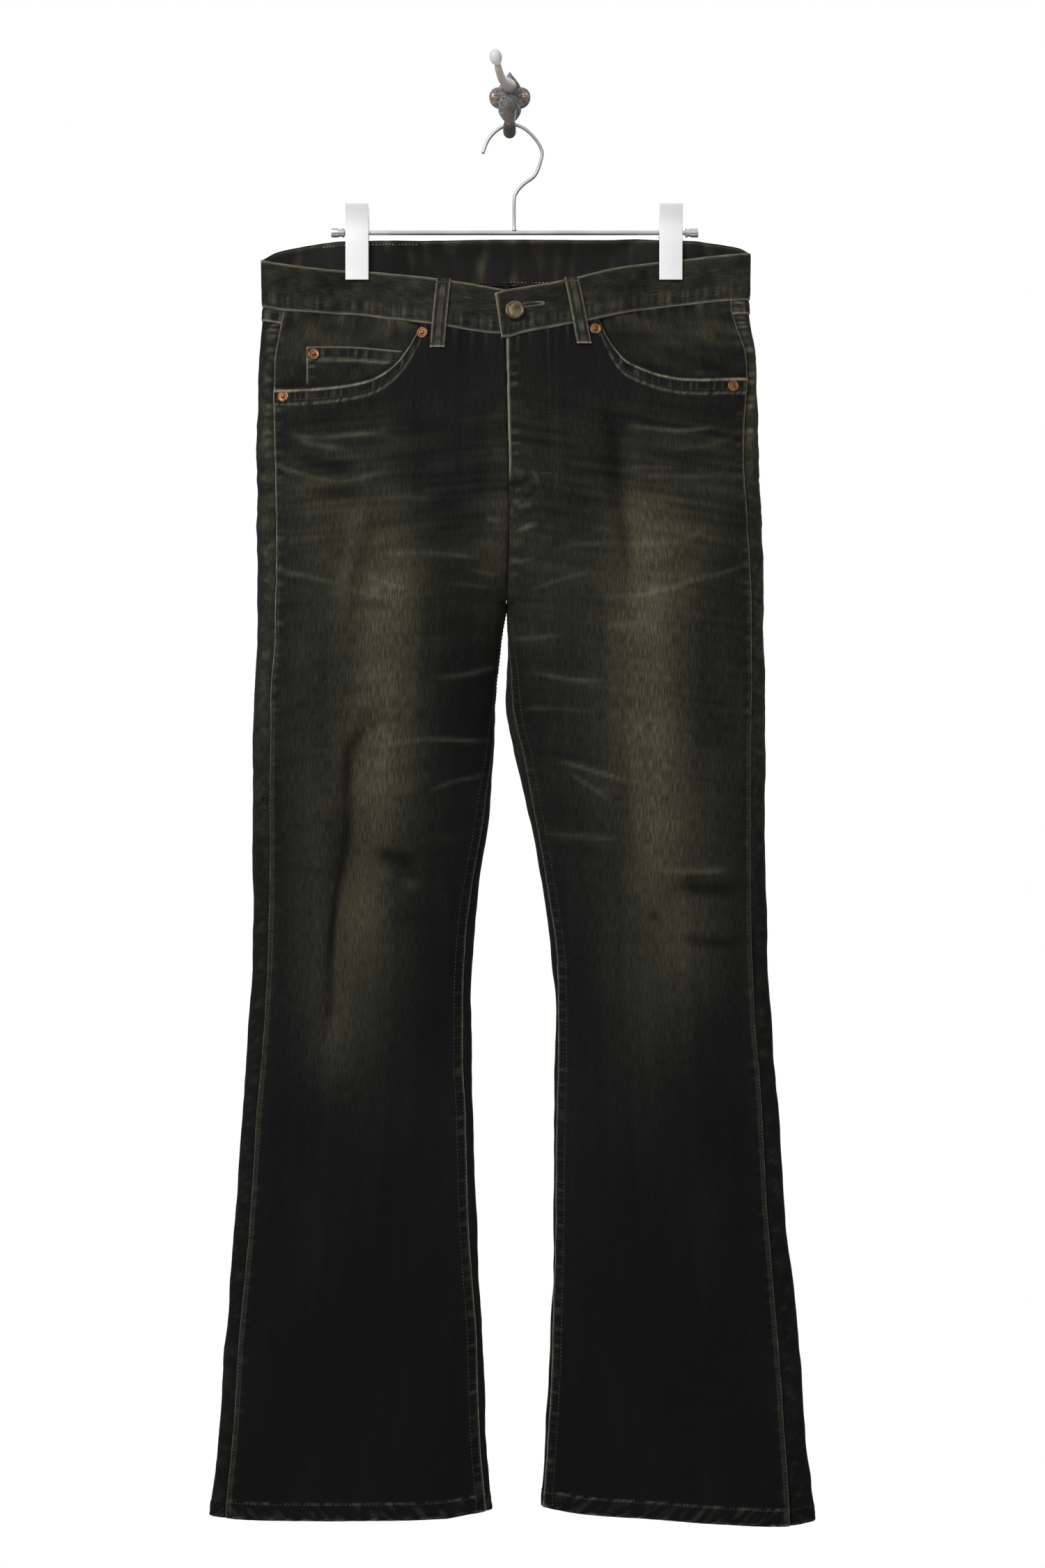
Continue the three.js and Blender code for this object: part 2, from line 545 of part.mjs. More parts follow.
const coinLift = (i, j) => facingLift('right', coinFrame(i, j).point.x, coinHeight(i, j))
  + COIN_SEAT + COIN_WALL;
addPiece('coin_pocket',
  wallGeometry(coinShares.length - 1, COIN_ROWS, coinFrame, coinLift, () => COIN_WALL), 'denim');

// Back patch pockets: five-sided, a little narrower at the foot, with a shallow point
const PATCH_TOP_Z = -262;
const PATCH_IN_X = 42;
const PATCH_TOP_WIDTH = 140;
const PATCH_LOW_WIDTH = 124;
const PATCH_SIDE_HEIGHT = 132;
const PATCH_POINT = 20;
const PATCH_TILT = 5;
const PATCH_SEAT = 0.7;
const PATCH_COLUMNS = 8;
const PATCH_ROWS = 7;
for (const side of ['right', 'left']) {
  const sign = side === 'right' ? -1 : 1;
  const frameAt = (i, j) => {
    const [u, v] = [i / PATCH_COLUMNS, j / PATCH_ROWS];
    const width = PATCH_TOP_WIDTH + (PATCH_LOW_WIDTH - PATCH_TOP_WIDTH) * v;
    const x = sign * (PATCH_IN_X + PATCH_TOP_WIDTH / 2 + (u - 0.5) * width);
    const height = PATCH_SIDE_HEIGHT + PATCH_POINT * (1 - Math.abs(2 * u - 1));
    return faceFrame('back', x, PATCH_TOP_Z + PATCH_TILT * u - height * v);
  };
  addPiece(`back_pocket_${side}`, wallGeometry(PATCH_COLUMNS, PATCH_ROWS, frameAt,
    () => PATCH_SEAT + CLOTH_WALL, () => CLOTH_WALL), 'denim');
}

// Belt loops: folded strips from the waistband's top edge to a bar tack below its seam
const LOOP_WIDTH = 12.4;
const LOOP_WALL = 1.5;
const LOOP_COLUMNS = 2;
const LOOP_ROWS = 8;
const LOOP_BELOW = 20;
const LOOPS = [
  { name: 'belt_loop_front_right', face: 'front', topX: -56.2, lowX: -61.6, edge: 'right' },
  { name: 'belt_loop_front_left', face: 'front', topX: 53, lowX: 63.8, edge: 'left' },
  { name: 'belt_loop_back_right', face: 'back', topX: -84, lowX: -86 },
  { name: 'belt_loop_back_left', face: 'back', topX: 82, lowX: 84 },
  { name: 'belt_loop_back_centre', face: 'back', topX: -2, lowX: -2 },
];
for (const loop of LOOPS) {
  const top = loop.edge ? frontTop[loop.edge](loop.topX) : backTop(loop.topX);
  const band = loop.edge ? frontLow[loop.edge](loop.lowX) : backLow(loop.lowX);
  const low = band - LOOP_BELOW;
  const heightAt = (j) => top + ((low - top) * j) / LOOP_ROWS;
  const frameAt = (i, j) => {
    const x = loop.topX + ((loop.lowX - loop.topX) * j) / LOOP_ROWS + LOOP_WIDTH * (i / LOOP_COLUMNS - 0.5);
    return faceFrame(loop.face, x, heightAt(j));
  };
  const liftAt = (i, j) => {
    const onBand = smoothStep(band - 12, band - 1.5, heightAt(j));
    const bow = 1.4 * Math.sin(Math.PI * clamp((heightAt(j) - band + 10) / (top - band + 10), 0, 1));
    return LOOP_WALL + SEAM_GAP + 0.1 + (BAND_PROUD + bow) * onBand;
  };
  addPiece(loop.name, wallGeometry(LOOP_COLUMNS, LOOP_ROWS, frameAt, liftAt, () => LOOP_WALL), 'denim');
}

// Turns a piece made round +Y so that +Y points out of the cloth, and sets it on the cloth
function setOnCloth(mesh, frame, lift) {
  mesh.quaternion.setFromUnitVectors(new THREE.Vector3(0, 1, 0), frame.out);
  mesh.position.copy(frame.point).addScaledVector(frame.out, lift);
  return mesh;
}
const lathe = (rows, segments) => {
  const outline = rows.map(([radius, height]) => new THREE.Vector2(radius, height));
  return new THREE.LatheGeometry(outline, segments);
};

// Copper rivets: a rolled ring with a nipple
const RIVET_ROWS = [[0, 0], [4.6, 0], [5, 0.6], [4.2, 1.2], [2.2, 0.8], [1.7, 1.9], [0, 2.3]];
const RIVETS = [
  { name: 'rivet_mouth_right', x: -74.4, z: -216 },
  { name: 'rivet_hip_right', x: -193.2, z: -270 },
  { name: 'rivet_mouth_left', x: 73.4, z: -212.6 },
  { name: 'rivet_hip_left', x: 191.2, z: -260.6 },
];
const RIVET_SEAT = 0.4;
for (const { name, x, z } of RIVETS) {
  setOnCloth(addPiece(name, lathe(RIVET_ROWS, 10), 'copper'), faceFrame('front', x, z), RIVET_SEAT);
}
const coinRivet = { x: -167.6, z: -233.4 };
const coinFace = facingLift('right', coinRivet.x, coinRivet.z) + COIN_SEAT + COIN_WALL;
setOnCloth(addPiece('rivet_coin', lathe(RIVET_ROWS, 10), 'copper'),
  faceFrame('front', coinRivet.x, coinRivet.z), coinFace + RIVET_SEAT);

// Waist button: a plain domed shank button on the lap
const BUTTON_ROWS = [[0, 0], [3, 0], [3.2, 1.6], [7.6, 2.1], [8.4, 2.9], [8.2, 3.9], [7, 4.5], [5.8, 4.1],
  [2.6, 4.2], [0, 4.5]];
setOnCloth(addPiece('button', lathe(BUTTON_ROWS, 20), 'brass'), faceFrame('front', 4.6, -198.5),
  BAND_PROUD + LAP_RISE + SEAM_GAP);

// Hanger: a bent wire hook standing on a rod with end caps
const WIRE_STOPS = [[-23.4, -57.1], [-18.4, -44.8], [-10.6, -36.4], [-0.6, -31.5], [5.1, -31.8], [13.9, -36],
  [22.8, -44.8], [27.9, -54.7], [26.7, -63.7], [21.7, -75.7], [11.7, -83.5], [6.1, -90.2], [4.1, -97.1],
  [4.1, ROD_Z + ROD_RADIUS + SEAM_GAP]];
const wireCurve = new THREE.CatmullRomCurve3(WIRE_STOPS.map(([x, z]) => new THREE.Vector3(x, HANG_DEPTH, z)));
const wireSection = new THREE.Shape();
const WIRE_SIDES = 8;
for (let k = 0; k < WIRE_SIDES; k += 1) {
  const turn = (2 * Math.PI * k) / WIRE_SIDES;
  const point = [WIRE_RADIUS * Math.cos(turn), WIRE_RADIUS * Math.sin(turn)];
  if (k === 0) wireSection.moveTo(...point);
  else wireSection.lineTo(...point);
}
const WIRE_STEPS = 34;
const wireSweep = { steps: WIRE_STEPS, extrudePath: wireCurve };
addPiece('hanger_hook', new THREE.ExtrudeGeometry(wireSection, wireSweep), 'chrome');

const rodLength = ROD_ENDS[1] - ROD_ENDS[0];
const rod = addPiece('hanger_rod', new THREE.CylinderGeometry(ROD_RADIUS, ROD_RADIUS, rodLength, 12), 'chrome');
rod.rotation.z = Math.PI / 2;
rod.position.set((ROD_ENDS[0] + ROD_ENDS[1]) / 2, HANG_DEPTH, ROD_Z);
const CAP_ROWS = [[0, 0.4], [2.4, 0.4], [2.4, -8.5], [4, -8.5], [4, 2], [3, 3], [0, 3]];
ROD_ENDS.forEach((x, k) => {
  const cap = addPiece(k ? 'end_cap_left' : 'end_cap_right', lathe(CAP_ROWS, 12), 'chrome');
  cap.rotation.z = k ? -Math.PI / 2 : Math.PI / 2;
  cap.position.set(x, HANG_DEPTH, ROD_Z);
});

// Spring clips: two bent jaws that close on the waistband, round a sleeve on the rod
const GRIP = PINCH_HALF + BAND_PROUD + 4 * SEAM_GAP;
const SLEEVE_RADIUS = 4.7;
const JAW_LINE = [[GRIP, -166.3], [GRIP, -155], [SLEEVE_RADIUS + SEAM_GAP, -134],
  [SLEEVE_RADIUS + SEAM_GAP, -117], [10.5, -102]];
const SLEEVE_ROWS = [[ROD_RADIUS + SEAM_GAP, -8.5], [SLEEVE_RADIUS, -8.5], [SLEEVE_RADIUS, 8.5],
  [ROD_RADIUS + SEAM_GAP, 8.5], [ROD_RADIUS + SEAM_GAP, -8.5]];
CLIP_X.forEach((clipX, k) => {
  const side = k ? 'left' : 'right';
  for (const face of ['front', 'back']) {
    const away = face === 'front' ? -1 : 1;
    const outline = JAW_LINE.map(([y, z]) => [HANG_DEPTH + away * y, z]);
    const outside = JAW_LINE.map(([y, z]) => [HANG_DEPTH + away * (y + JAW_WALL), z]).reverse();
    const shape = new THREE.Shape([...outline, ...outside].map(([y, z]) => new THREE.Vector2(y, z)));
    const geometry = new THREE.ExtrudeGeometry(shape, { depth: CLIP_WIDTH, bevelEnabled: false });
    geometry.applyMatrix4(new THREE.Matrix4().makeBasis(
      new THREE.Vector3(0, 1, 0), new THREE.Vector3(0, 0, 1), new THREE.Vector3(1, 0, 0)));
    addPiece(`clip_jaw_${face}_${side}`, geometry, 'chrome').position.x = clipX - CLIP_WIDTH / 2;
  }
  const sleeve = addPiece(`clip_sleeve_${side}`, lathe(SLEEVE_ROWS, 16), 'chrome');
  sleeve.rotation.z = Math.PI / 2;
  sleeve.position.set(clipX, HANG_DEPTH, ROD_Z);
});

// Wall hook: a cast leaf-shaped plate in one with an upper arm and a lower prong
const PLATE_THICK = 4;
const plate = new THREE.Shape();
plate.moveTo(0, 22);
plate.bezierCurveTo(3.5, 17, 8, 13, 9.5, 8.5);
plate.bezierCurveTo(15, 8.5, 18, 4.5, 18, 0);
plate.bezierCurveTo(18, -6, 14, -9, 10, -10);
plate.bezierCurveTo(10.5, -15, 6, -19.5, 4.5, -21);
plate.lineTo(-4.5, -21);
plate.bezierCurveTo(-6, -19.5, -10.5, -15, -10, -10);
plate.bezierCurveTo(-14, -9, -18, -6, -18, 0);
plate.bezierCurveTo(-18, 4.5, -15, 8.5, -9.5, 8.5);
plate.bezierCurveTo(-8, 13, -3.5, 17, 0, 22);
const plateGeometry = new THREE.ExtrudeGeometry(plate,
  { depth: PLATE_THICK, bevelEnabled: false, curveSegments: 4 });
plateGeometry.rotateX(Math.PI / 2);
const PRONG_STOPS = [[-2, -10], [-14, -18], [-26, -31.6], [-38, -38.15], [-47, -35.2], [-50.5, -31]];
const PRONG_RADII = [7, 5.6, 4.8, 4.8, 5.6, 5];
const ARM_STOPS = [[0, -2, 8], [-2, -16, 9], [-6, -34, 8], [-9, -50, 12], [-10.4, -56, 17]];
const ARM_RADII = [7, 5, 4, 3.4, 3];

const wasm = await Module();
wasm.setup();
function toSolid(geometry) {
  const plain = geometry.clone();
  plain.deleteAttribute('normal');
  plain.deleteAttribute('uv');
  const merged = mergeVertices(plain, 1e-4);
  return new wasm.Manifold(new wasm.Mesh({
    numProp: 3,
    vertProperties: new Float32Array(merged.attributes.position.array),
    triVerts: new Uint32Array(merged.index.array),
  }));
}
function fromSolid(solid) {
  const mesh = solid.getMesh();
  const geometry = new THREE.BufferGeometry();
  geometry.setAttribute('position', new THREE.Float32BufferAttribute(mesh.vertProperties, 3));
  geometry.setIndex([...mesh.triVerts]);
  return geometry;
}
const prong = barGeometry(PRONG_STOPS.map(([y, z]) => new THREE.Vector3(0, y, z)), PRONG_RADII, 10);
const arm = barGeometry(ARM_STOPS.map(([x, y, z]) => new THREE.Vector3(x, y, z)), ARM_RADII, 8);
const wallSide = new THREE.BoxGeometry(60, 20, 60).translate(0, 10, 0);
const casting = toSolid(plateGeometry).add(toSolid(prong)).add(toSolid(arm)).subtract(toSolid(wallSide));
addPiece('wall_hook', fromSolid(casting), 'iron');

// Round knob on the upper arm's tip
const KNOB_ROWS = [[0, 0], [3.4, 0.2], [5.2, 3], [5.6, 6.5], [4.6, 10], [2.4, 12.2], [0, 13]];
const knob = addPiece('hook_knob', lathe(KNOB_ROWS, 14), 'ceramic');
const armTip = new THREE.Vector3(...ARM_STOPS.at(-1));
const armWay = armTip.clone().sub(new THREE.Vector3(...ARM_STOPS.at(-2))).normalize();
knob.quaternion.setFromUnitVectors(new THREE.Vector3(0, 1, 0), armWay);
knob.position.copy(armTip).addScaledVector(armWay, SEAM_GAP + 0.4);

// Cross-head screws in the plate's lobes
const SCREW_ROWS = [[0, 0], [3.5, 0], [3.1, 1.1], [1.8, 1.9], [0, 2.2]];
const SCREW_X = 13;
[-1, 1].forEach((away) => {
  const head = toSolid(lathe(SCREW_ROWS, 16));
  const slotA = toSolid(new THREE.BoxGeometry(4.2, 2, 0.9).translate(0, 2.2, 0));
  const slotB = toSolid(new THREE.BoxGeometry(0.9, 2, 4.2).translate(0, 2.2, 0));
  const slotted = fromSolid(head.subtract(slotA.add(slotB)));
  const screw = addPiece(away < 0 ? 'screw_right' : 'screw_left', slotted, 'copper');
  screw.rotation.x = Math.PI;
  screw.position.set(SCREW_X * away, -PLATE_THICK - SEAM_GAP, 0);
});

export default model;
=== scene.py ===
import math
import bpy
import numpy as np
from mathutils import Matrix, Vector


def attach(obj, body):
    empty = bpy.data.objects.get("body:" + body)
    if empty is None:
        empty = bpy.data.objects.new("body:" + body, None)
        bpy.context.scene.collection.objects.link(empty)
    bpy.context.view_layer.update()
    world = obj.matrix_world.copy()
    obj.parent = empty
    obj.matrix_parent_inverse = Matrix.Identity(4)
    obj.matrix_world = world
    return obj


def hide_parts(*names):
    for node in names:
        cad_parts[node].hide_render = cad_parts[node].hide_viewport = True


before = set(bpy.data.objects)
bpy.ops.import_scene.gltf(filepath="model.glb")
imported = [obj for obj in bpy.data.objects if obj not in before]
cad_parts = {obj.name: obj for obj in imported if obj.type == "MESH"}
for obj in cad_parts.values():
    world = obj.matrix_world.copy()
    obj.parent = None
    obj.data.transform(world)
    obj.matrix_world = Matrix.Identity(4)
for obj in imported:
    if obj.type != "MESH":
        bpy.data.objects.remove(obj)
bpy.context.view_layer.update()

# ---- View, light and floor. A level camera stands 2.7 m in front of the garment, as the photographer did.
# The room is a plain white surround. A large soft lamp stands above the camera to its left, a second one
# lights the back, and a pale floor lies at hanging height below the wall hook.
PHOTO_WIDTH, PHOTO_HEIGHT = 1500, 2250
METRES_PER_PIXEL = 0.0006
CAMERA_DISTANCE = 2.7
GARMENT_PLANE_Y = -0.045
VIEW_CENTRE_X = 0.0111
VIEW_CENTRE_Z = -0.6009
SENSOR_SIZE = 36
FLOOR_Z = -2.15
FLOOR_SIZE = 4.8
WHITE = (1, 1, 1, 1)
ROOM_STRENGTH = 0.42
# Mirrors see the room dimmer below the horizon, as a floor would be
DIM_START, DIM_END, DIM_STRENGTH = -0.55, 0.1, 0.12

scene = bpy.context.scene
scene.render.resolution_x = PHOTO_WIDTH
scene.render.resolution_y = PHOTO_HEIGHT
scene.view_settings.view_transform = "Standard"

camera_data = bpy.data.cameras.new("camera")
camera_data.sensor_width = SENSOR_SIZE
camera_data.lens = SENSOR_SIZE * CAMERA_DISTANCE / (PHOTO_HEIGHT * METRES_PER_PIXEL)
camera = bpy.data.objects.new("camera", camera_data)
scene.collection.objects.link(camera)
camera.location = (VIEW_CENTRE_X, GARMENT_PLANE_Y - CAMERA_DISTANCE, VIEW_CENTRE_Z)
camera.rotation_euler = (math.pi / 2, 0, 0)
scene.camera = camera


def add_node(tree, kind, inputs=None, **settings):
    """A shader node of that kind, with its inputs set to constants or linked to other nodes' sockets."""
    node = tree.nodes.new(kind)
    for name, value in settings.items():
        setattr(node, name, value)
    for socket, value in (inputs or {}).items():
        if isinstance(value, bpy.types.NodeSocket):
            tree.links.new(value, node.inputs[socket])
        else:
            node.inputs[socket].default_value = value
    return node


world = bpy.data.worlds.new("white_room")
scene.world = world
world.use_nodes = True
world.node_tree.nodes.clear()
light_path = add_node(world.node_tree, "ShaderNodeLightPath")
seen = add_node(world.node_tree, "ShaderNodeBackground", {"Color": WHITE, "Strength": 1.0})
lit = add_node(world.node_tree, "ShaderNodeBackground", {"Color": WHITE, "Strength": ROOM_STRENGTH})
direction = add_node(world.node_tree, "ShaderNodeTexCoord")
height = add_node(world.node_tree, "ShaderNodeSeparateXYZ", {0: direction.outputs["Generated"]})
dim_below = add_node(world.node_tree, "ShaderNodeMapRange",
                     {0: height.outputs[2], 1: DIM_START, 2: DIM_END, 3: DIM_STRENGTH, 4: 1.0})
mirrored = add_node(world.node_tree, "ShaderNodeBackground", {"Strength": dim_below.outputs[0]})
unseen = add_node(world.node_tree, "ShaderNodeMixShader",
                  {0: light_path.outputs["Is Glossy Ray"], 1: lit.outputs[0], 2: mirrored.outputs[0]})
either = add_node(world.node_tree, "ShaderNodeMixShader",
                  {0: light_path.outputs["Is Camera Ray"], 1: unseen.outputs[0], 2: seen.outputs[0]})
add_node(world.node_tree, "ShaderNodeOutputWorld", {"Surface": either.outputs[0]})


def add_lamp(name, place, size, watts):
    """A square soft lamp of that size that points at the middle of the garment."""
    data = bpy.data.lights.new(name, "AREA")
    data.size = size
    data.energy = watts
    lamp = bpy.data.objects.new(name, data)
    scene.collection.objects.link(lamp)
    lamp.location = place
    aim = Vector((VIEW_CENTRE_X, GARMENT_PLANE_Y, VIEW_CENTRE_Z)) - Vector(place)
    lamp.rotation_euler = aim.to_track_quat("-Z", "Y").to_euler()


add_lamp("key_lamp", (-1.5, -2.3, 1.3), 1.4, 62)
add_lamp("back_lamp", (1.2, 2.6, 0.9), 1.6, 34)

floor_mesh = bpy.data.meshes.new("floor")
half_floor = FLOOR_SIZE / 2
floor_corners = [(x * half_floor, y * half_floor, FLOOR_Z) for x, y in ((-1, -1), (1, -1), (1, 1), (-1, 1))]
floor_mesh.from_pydata(floor_corners, [], [(0, 1, 2, 3)])
floor = bpy.data.objects.new("floor", floor_mesh)
scene.collection.objects.link(floor)
floor_finish = bpy.data.materials.new("floor_paint")
floor_finish.use_nodes = True
floor_shader = floor_finish.node_tree.nodes["Principled BSDF"]
floor_shader.inputs["Base Color"].default_value = (0.8, 0.8, 0.79, 1)
floor_shader.inputs["Roughness"].default_value = 0.9
floor_mesh.materials.append(floor_finish)

# ---- Front panels. Each is one piece of black cotton denim from the waistband to the hem, sewn to the back
# panel down the side and the inside leg. Its upper outer corner is cut away as the hip pocket's mouth.
# The left panel laps over the right one at the fly. All sizes here are millimetres in the row frame.
CLOTH_WALL = 1.2
SEAM_GAP = 0.3
CROTCH_Z = -446
RISE_TURN_Z = -330
SECTION_POWER = 0.88
HEM_HEIGHT = 15
HEM_ROW = 13.6
NEAR_HEM_Z = -1230.0
NEAR_TOP_Z = -205.0
MOUTH_ALLOWANCE = 12
MOUTH_STARTS_X = (74, 80)
FLY_WIDTH = 40
PINCH_HALF = 2.25
PINCH_SPREAD = 34
PINCH_HOLD_Z = -172
PINCH_END_Z = -285
CLIP_X = (-131.5, 139)

# Heights where the creases from sitting set in, ease over the hips and end down the thighs, and where the
# seams' wear changes
SITTING_STARTS_Z = (-262, -300)
SITTING_EASES_Z = (-350, -430)
SITTING_ENDS_Z = (-560, -760)
HIP_Z = -430
KNEE_Z = -640
SHIN_Z = -800

# Half-sections by height: outer and inner edge of each side, the middle plane, how far front and back
# bulge from it, and how far each seam lies in from the edge on the front
SECTION_NAMES = ("out_right", "in_right", "in_left", "out_left", "mid", "front", "back",
                 "side_right", "side_left", "inseam_right", "inseam_left")
SECTION_ROWS = (
    (-120, -214.5, -3.2, -3.2, 207.5, -38, 23, 21, 18, 16, 0, 0),
    (-150, -214.0, -3.2, -3.2, 207.5, -38, 25, 23, 18, 16, 0, 0),
    (-190, -213.0, -3.2, -3.2, 206.5, -38.5, 29, 26, 18, 15, 0, 0),
    (-238, -216.0, -2.6, -2.6, 213.3, -41, 38, 31, 14, 9, 0, 0),
    (-286, -217.0, -1.6, -1.6, 214.0, -44, 45, 36, 15, 12, 0, 0),
    (-334, -218.0, -0.6, -0.6, 214.5, -47, 49, 40, 17, 14, 0, 0),
    (-382, -217.5, -0.3, -0.3, 217.0, -48, 50, 41, 18, 13, 0, 0),
    (-446, -217.0, -2.4, -2.4, 218.7, -47, 46, 39, 17, 12, 0, 0),
    (-478, -217.5, -7.5, -1.5, 218.9, -46, 43, 37, 17, 12, 0, 1),
    (-526, -220.5, -12.3, -3.9, 219.9, -45, 40, 35, 16, 12, 0, 6),
    (-574, -221.1, -14.1, 4.5, 219.9, -45, 37, 33, 16, 13, 1, 7),
    (-622, -221.7, -16.5, 15.3, 220.0, -45, 34, 31, 16, 13, 5, 5),
    (-694, -220.6, -26.7, 29.1, 221.1, -45, 29, 28, 15, 14, 6, 4),
    (-742, -221.1, -30.9, 35.7, 221.8, -45, 26, 25, 14, 14, 7, 4),
    (-790, -224.1, -32.7, 38.7, 224.1, -45, 24, 23, 14, 14, 7, 3),
    (-838, -227.1, -32.7, 38.7, 227.7, -45, 23, 22, 14, 14, 7, 3),
    (-886, -230.1, -31.5, 38.7, 231.9, -45, 22, 21, 13, 15, 6, 2),
    (-982, -236.7, -28.5, 36.9, 238.5, -45, 21, 20, 13, 16, 6, 2),
    (-1078, -244.5, -23.1, 35.1, 248.7, -45, 20, 19, 12, 18, 5, 2),
    (-1174, -251.1, -19.5, 29.7, 256.5, -45, 18, 18, 12, 19, 5, 2),
    (-1222, -257.8, -15.3, 26.9, 262.2, -45, 17, 17, 14, 22, 5, 2),
    (-1245, -258.6, -14.2, 27.2, 262.8, -45, 17, 17, 14, 22, 5, 2),
)
# Outlines in x and z: the centre seam (z first), the waistband's upper and lower edge, the pocket mouths
# and the hems
CENTRE_SEAM = ((-120, -3.2), (-190, -3.2), (-238, -2.6), (-286, -1.6), (-334, -0.6), (-382, -0.4),
               (-446, -2.4))
FRONT_TOP = {
    "right": ((-215, -149), (-200, -152.6), (-181, -155.6), (-162, -157.3), (-141, -158), (-120, -159),
              (-89, -164.3), (-63, -168.2), (-24, -174.4), (0, -178.4), (20, -180)),
    "left": ((-13, -182.1), (-1.5, -178.7), (18, -175.5), (46, -169.7), (61, -166.3), (84, -160),
             (109, -154.2), (126, -151), (149, -148.5), (182, -146), (208, -143)),
}
FRONT_LOW = {
    "right": ((-214, -190), (-193, -194.5), (-168, -196.2), (-143, -196.8), (-126, -198), (-103, -202),
              (-64, -209), (-8, -217.2), (20, -212)),
    "left": ((-14, -221.5), (0, -221), (9, -218.1), (40, -211), (67, -205.4), (84, -201.3), (117, -193.2),
             (149, -188.7), (182, -186.3), (207, -184)),
}
POCKET_MOUTH = {
    "right": ((-202, -264), (-189, -264.6), (-160, -263.6), (-140, -261.5), (-123, -258), (-109, -251.4),
              (-97, -241.3), (-88.6, -230), (-79.7, -214.5), (-76, -207.2)),
    "left": ((76, -203.4), (80.2, -213.8), (90, -230), (99.5, -239.9), (112.6, -246.2), (129, -252),
             (149, -255.2), (165, -255.4), (186, -254.3), (201, -253.6)),
}
HEM = {
    "right": ((-259, -1230), (-217, -1232), (-130, -1231.8), (-57, -1230.8), (-34, -1227.6), (-14, -1225)),
    "left": ((26, -1222), (62, -1226.8), (117, -1230), (179, -1234.8), (234, -1237.6), (263, -1234.6)),
}
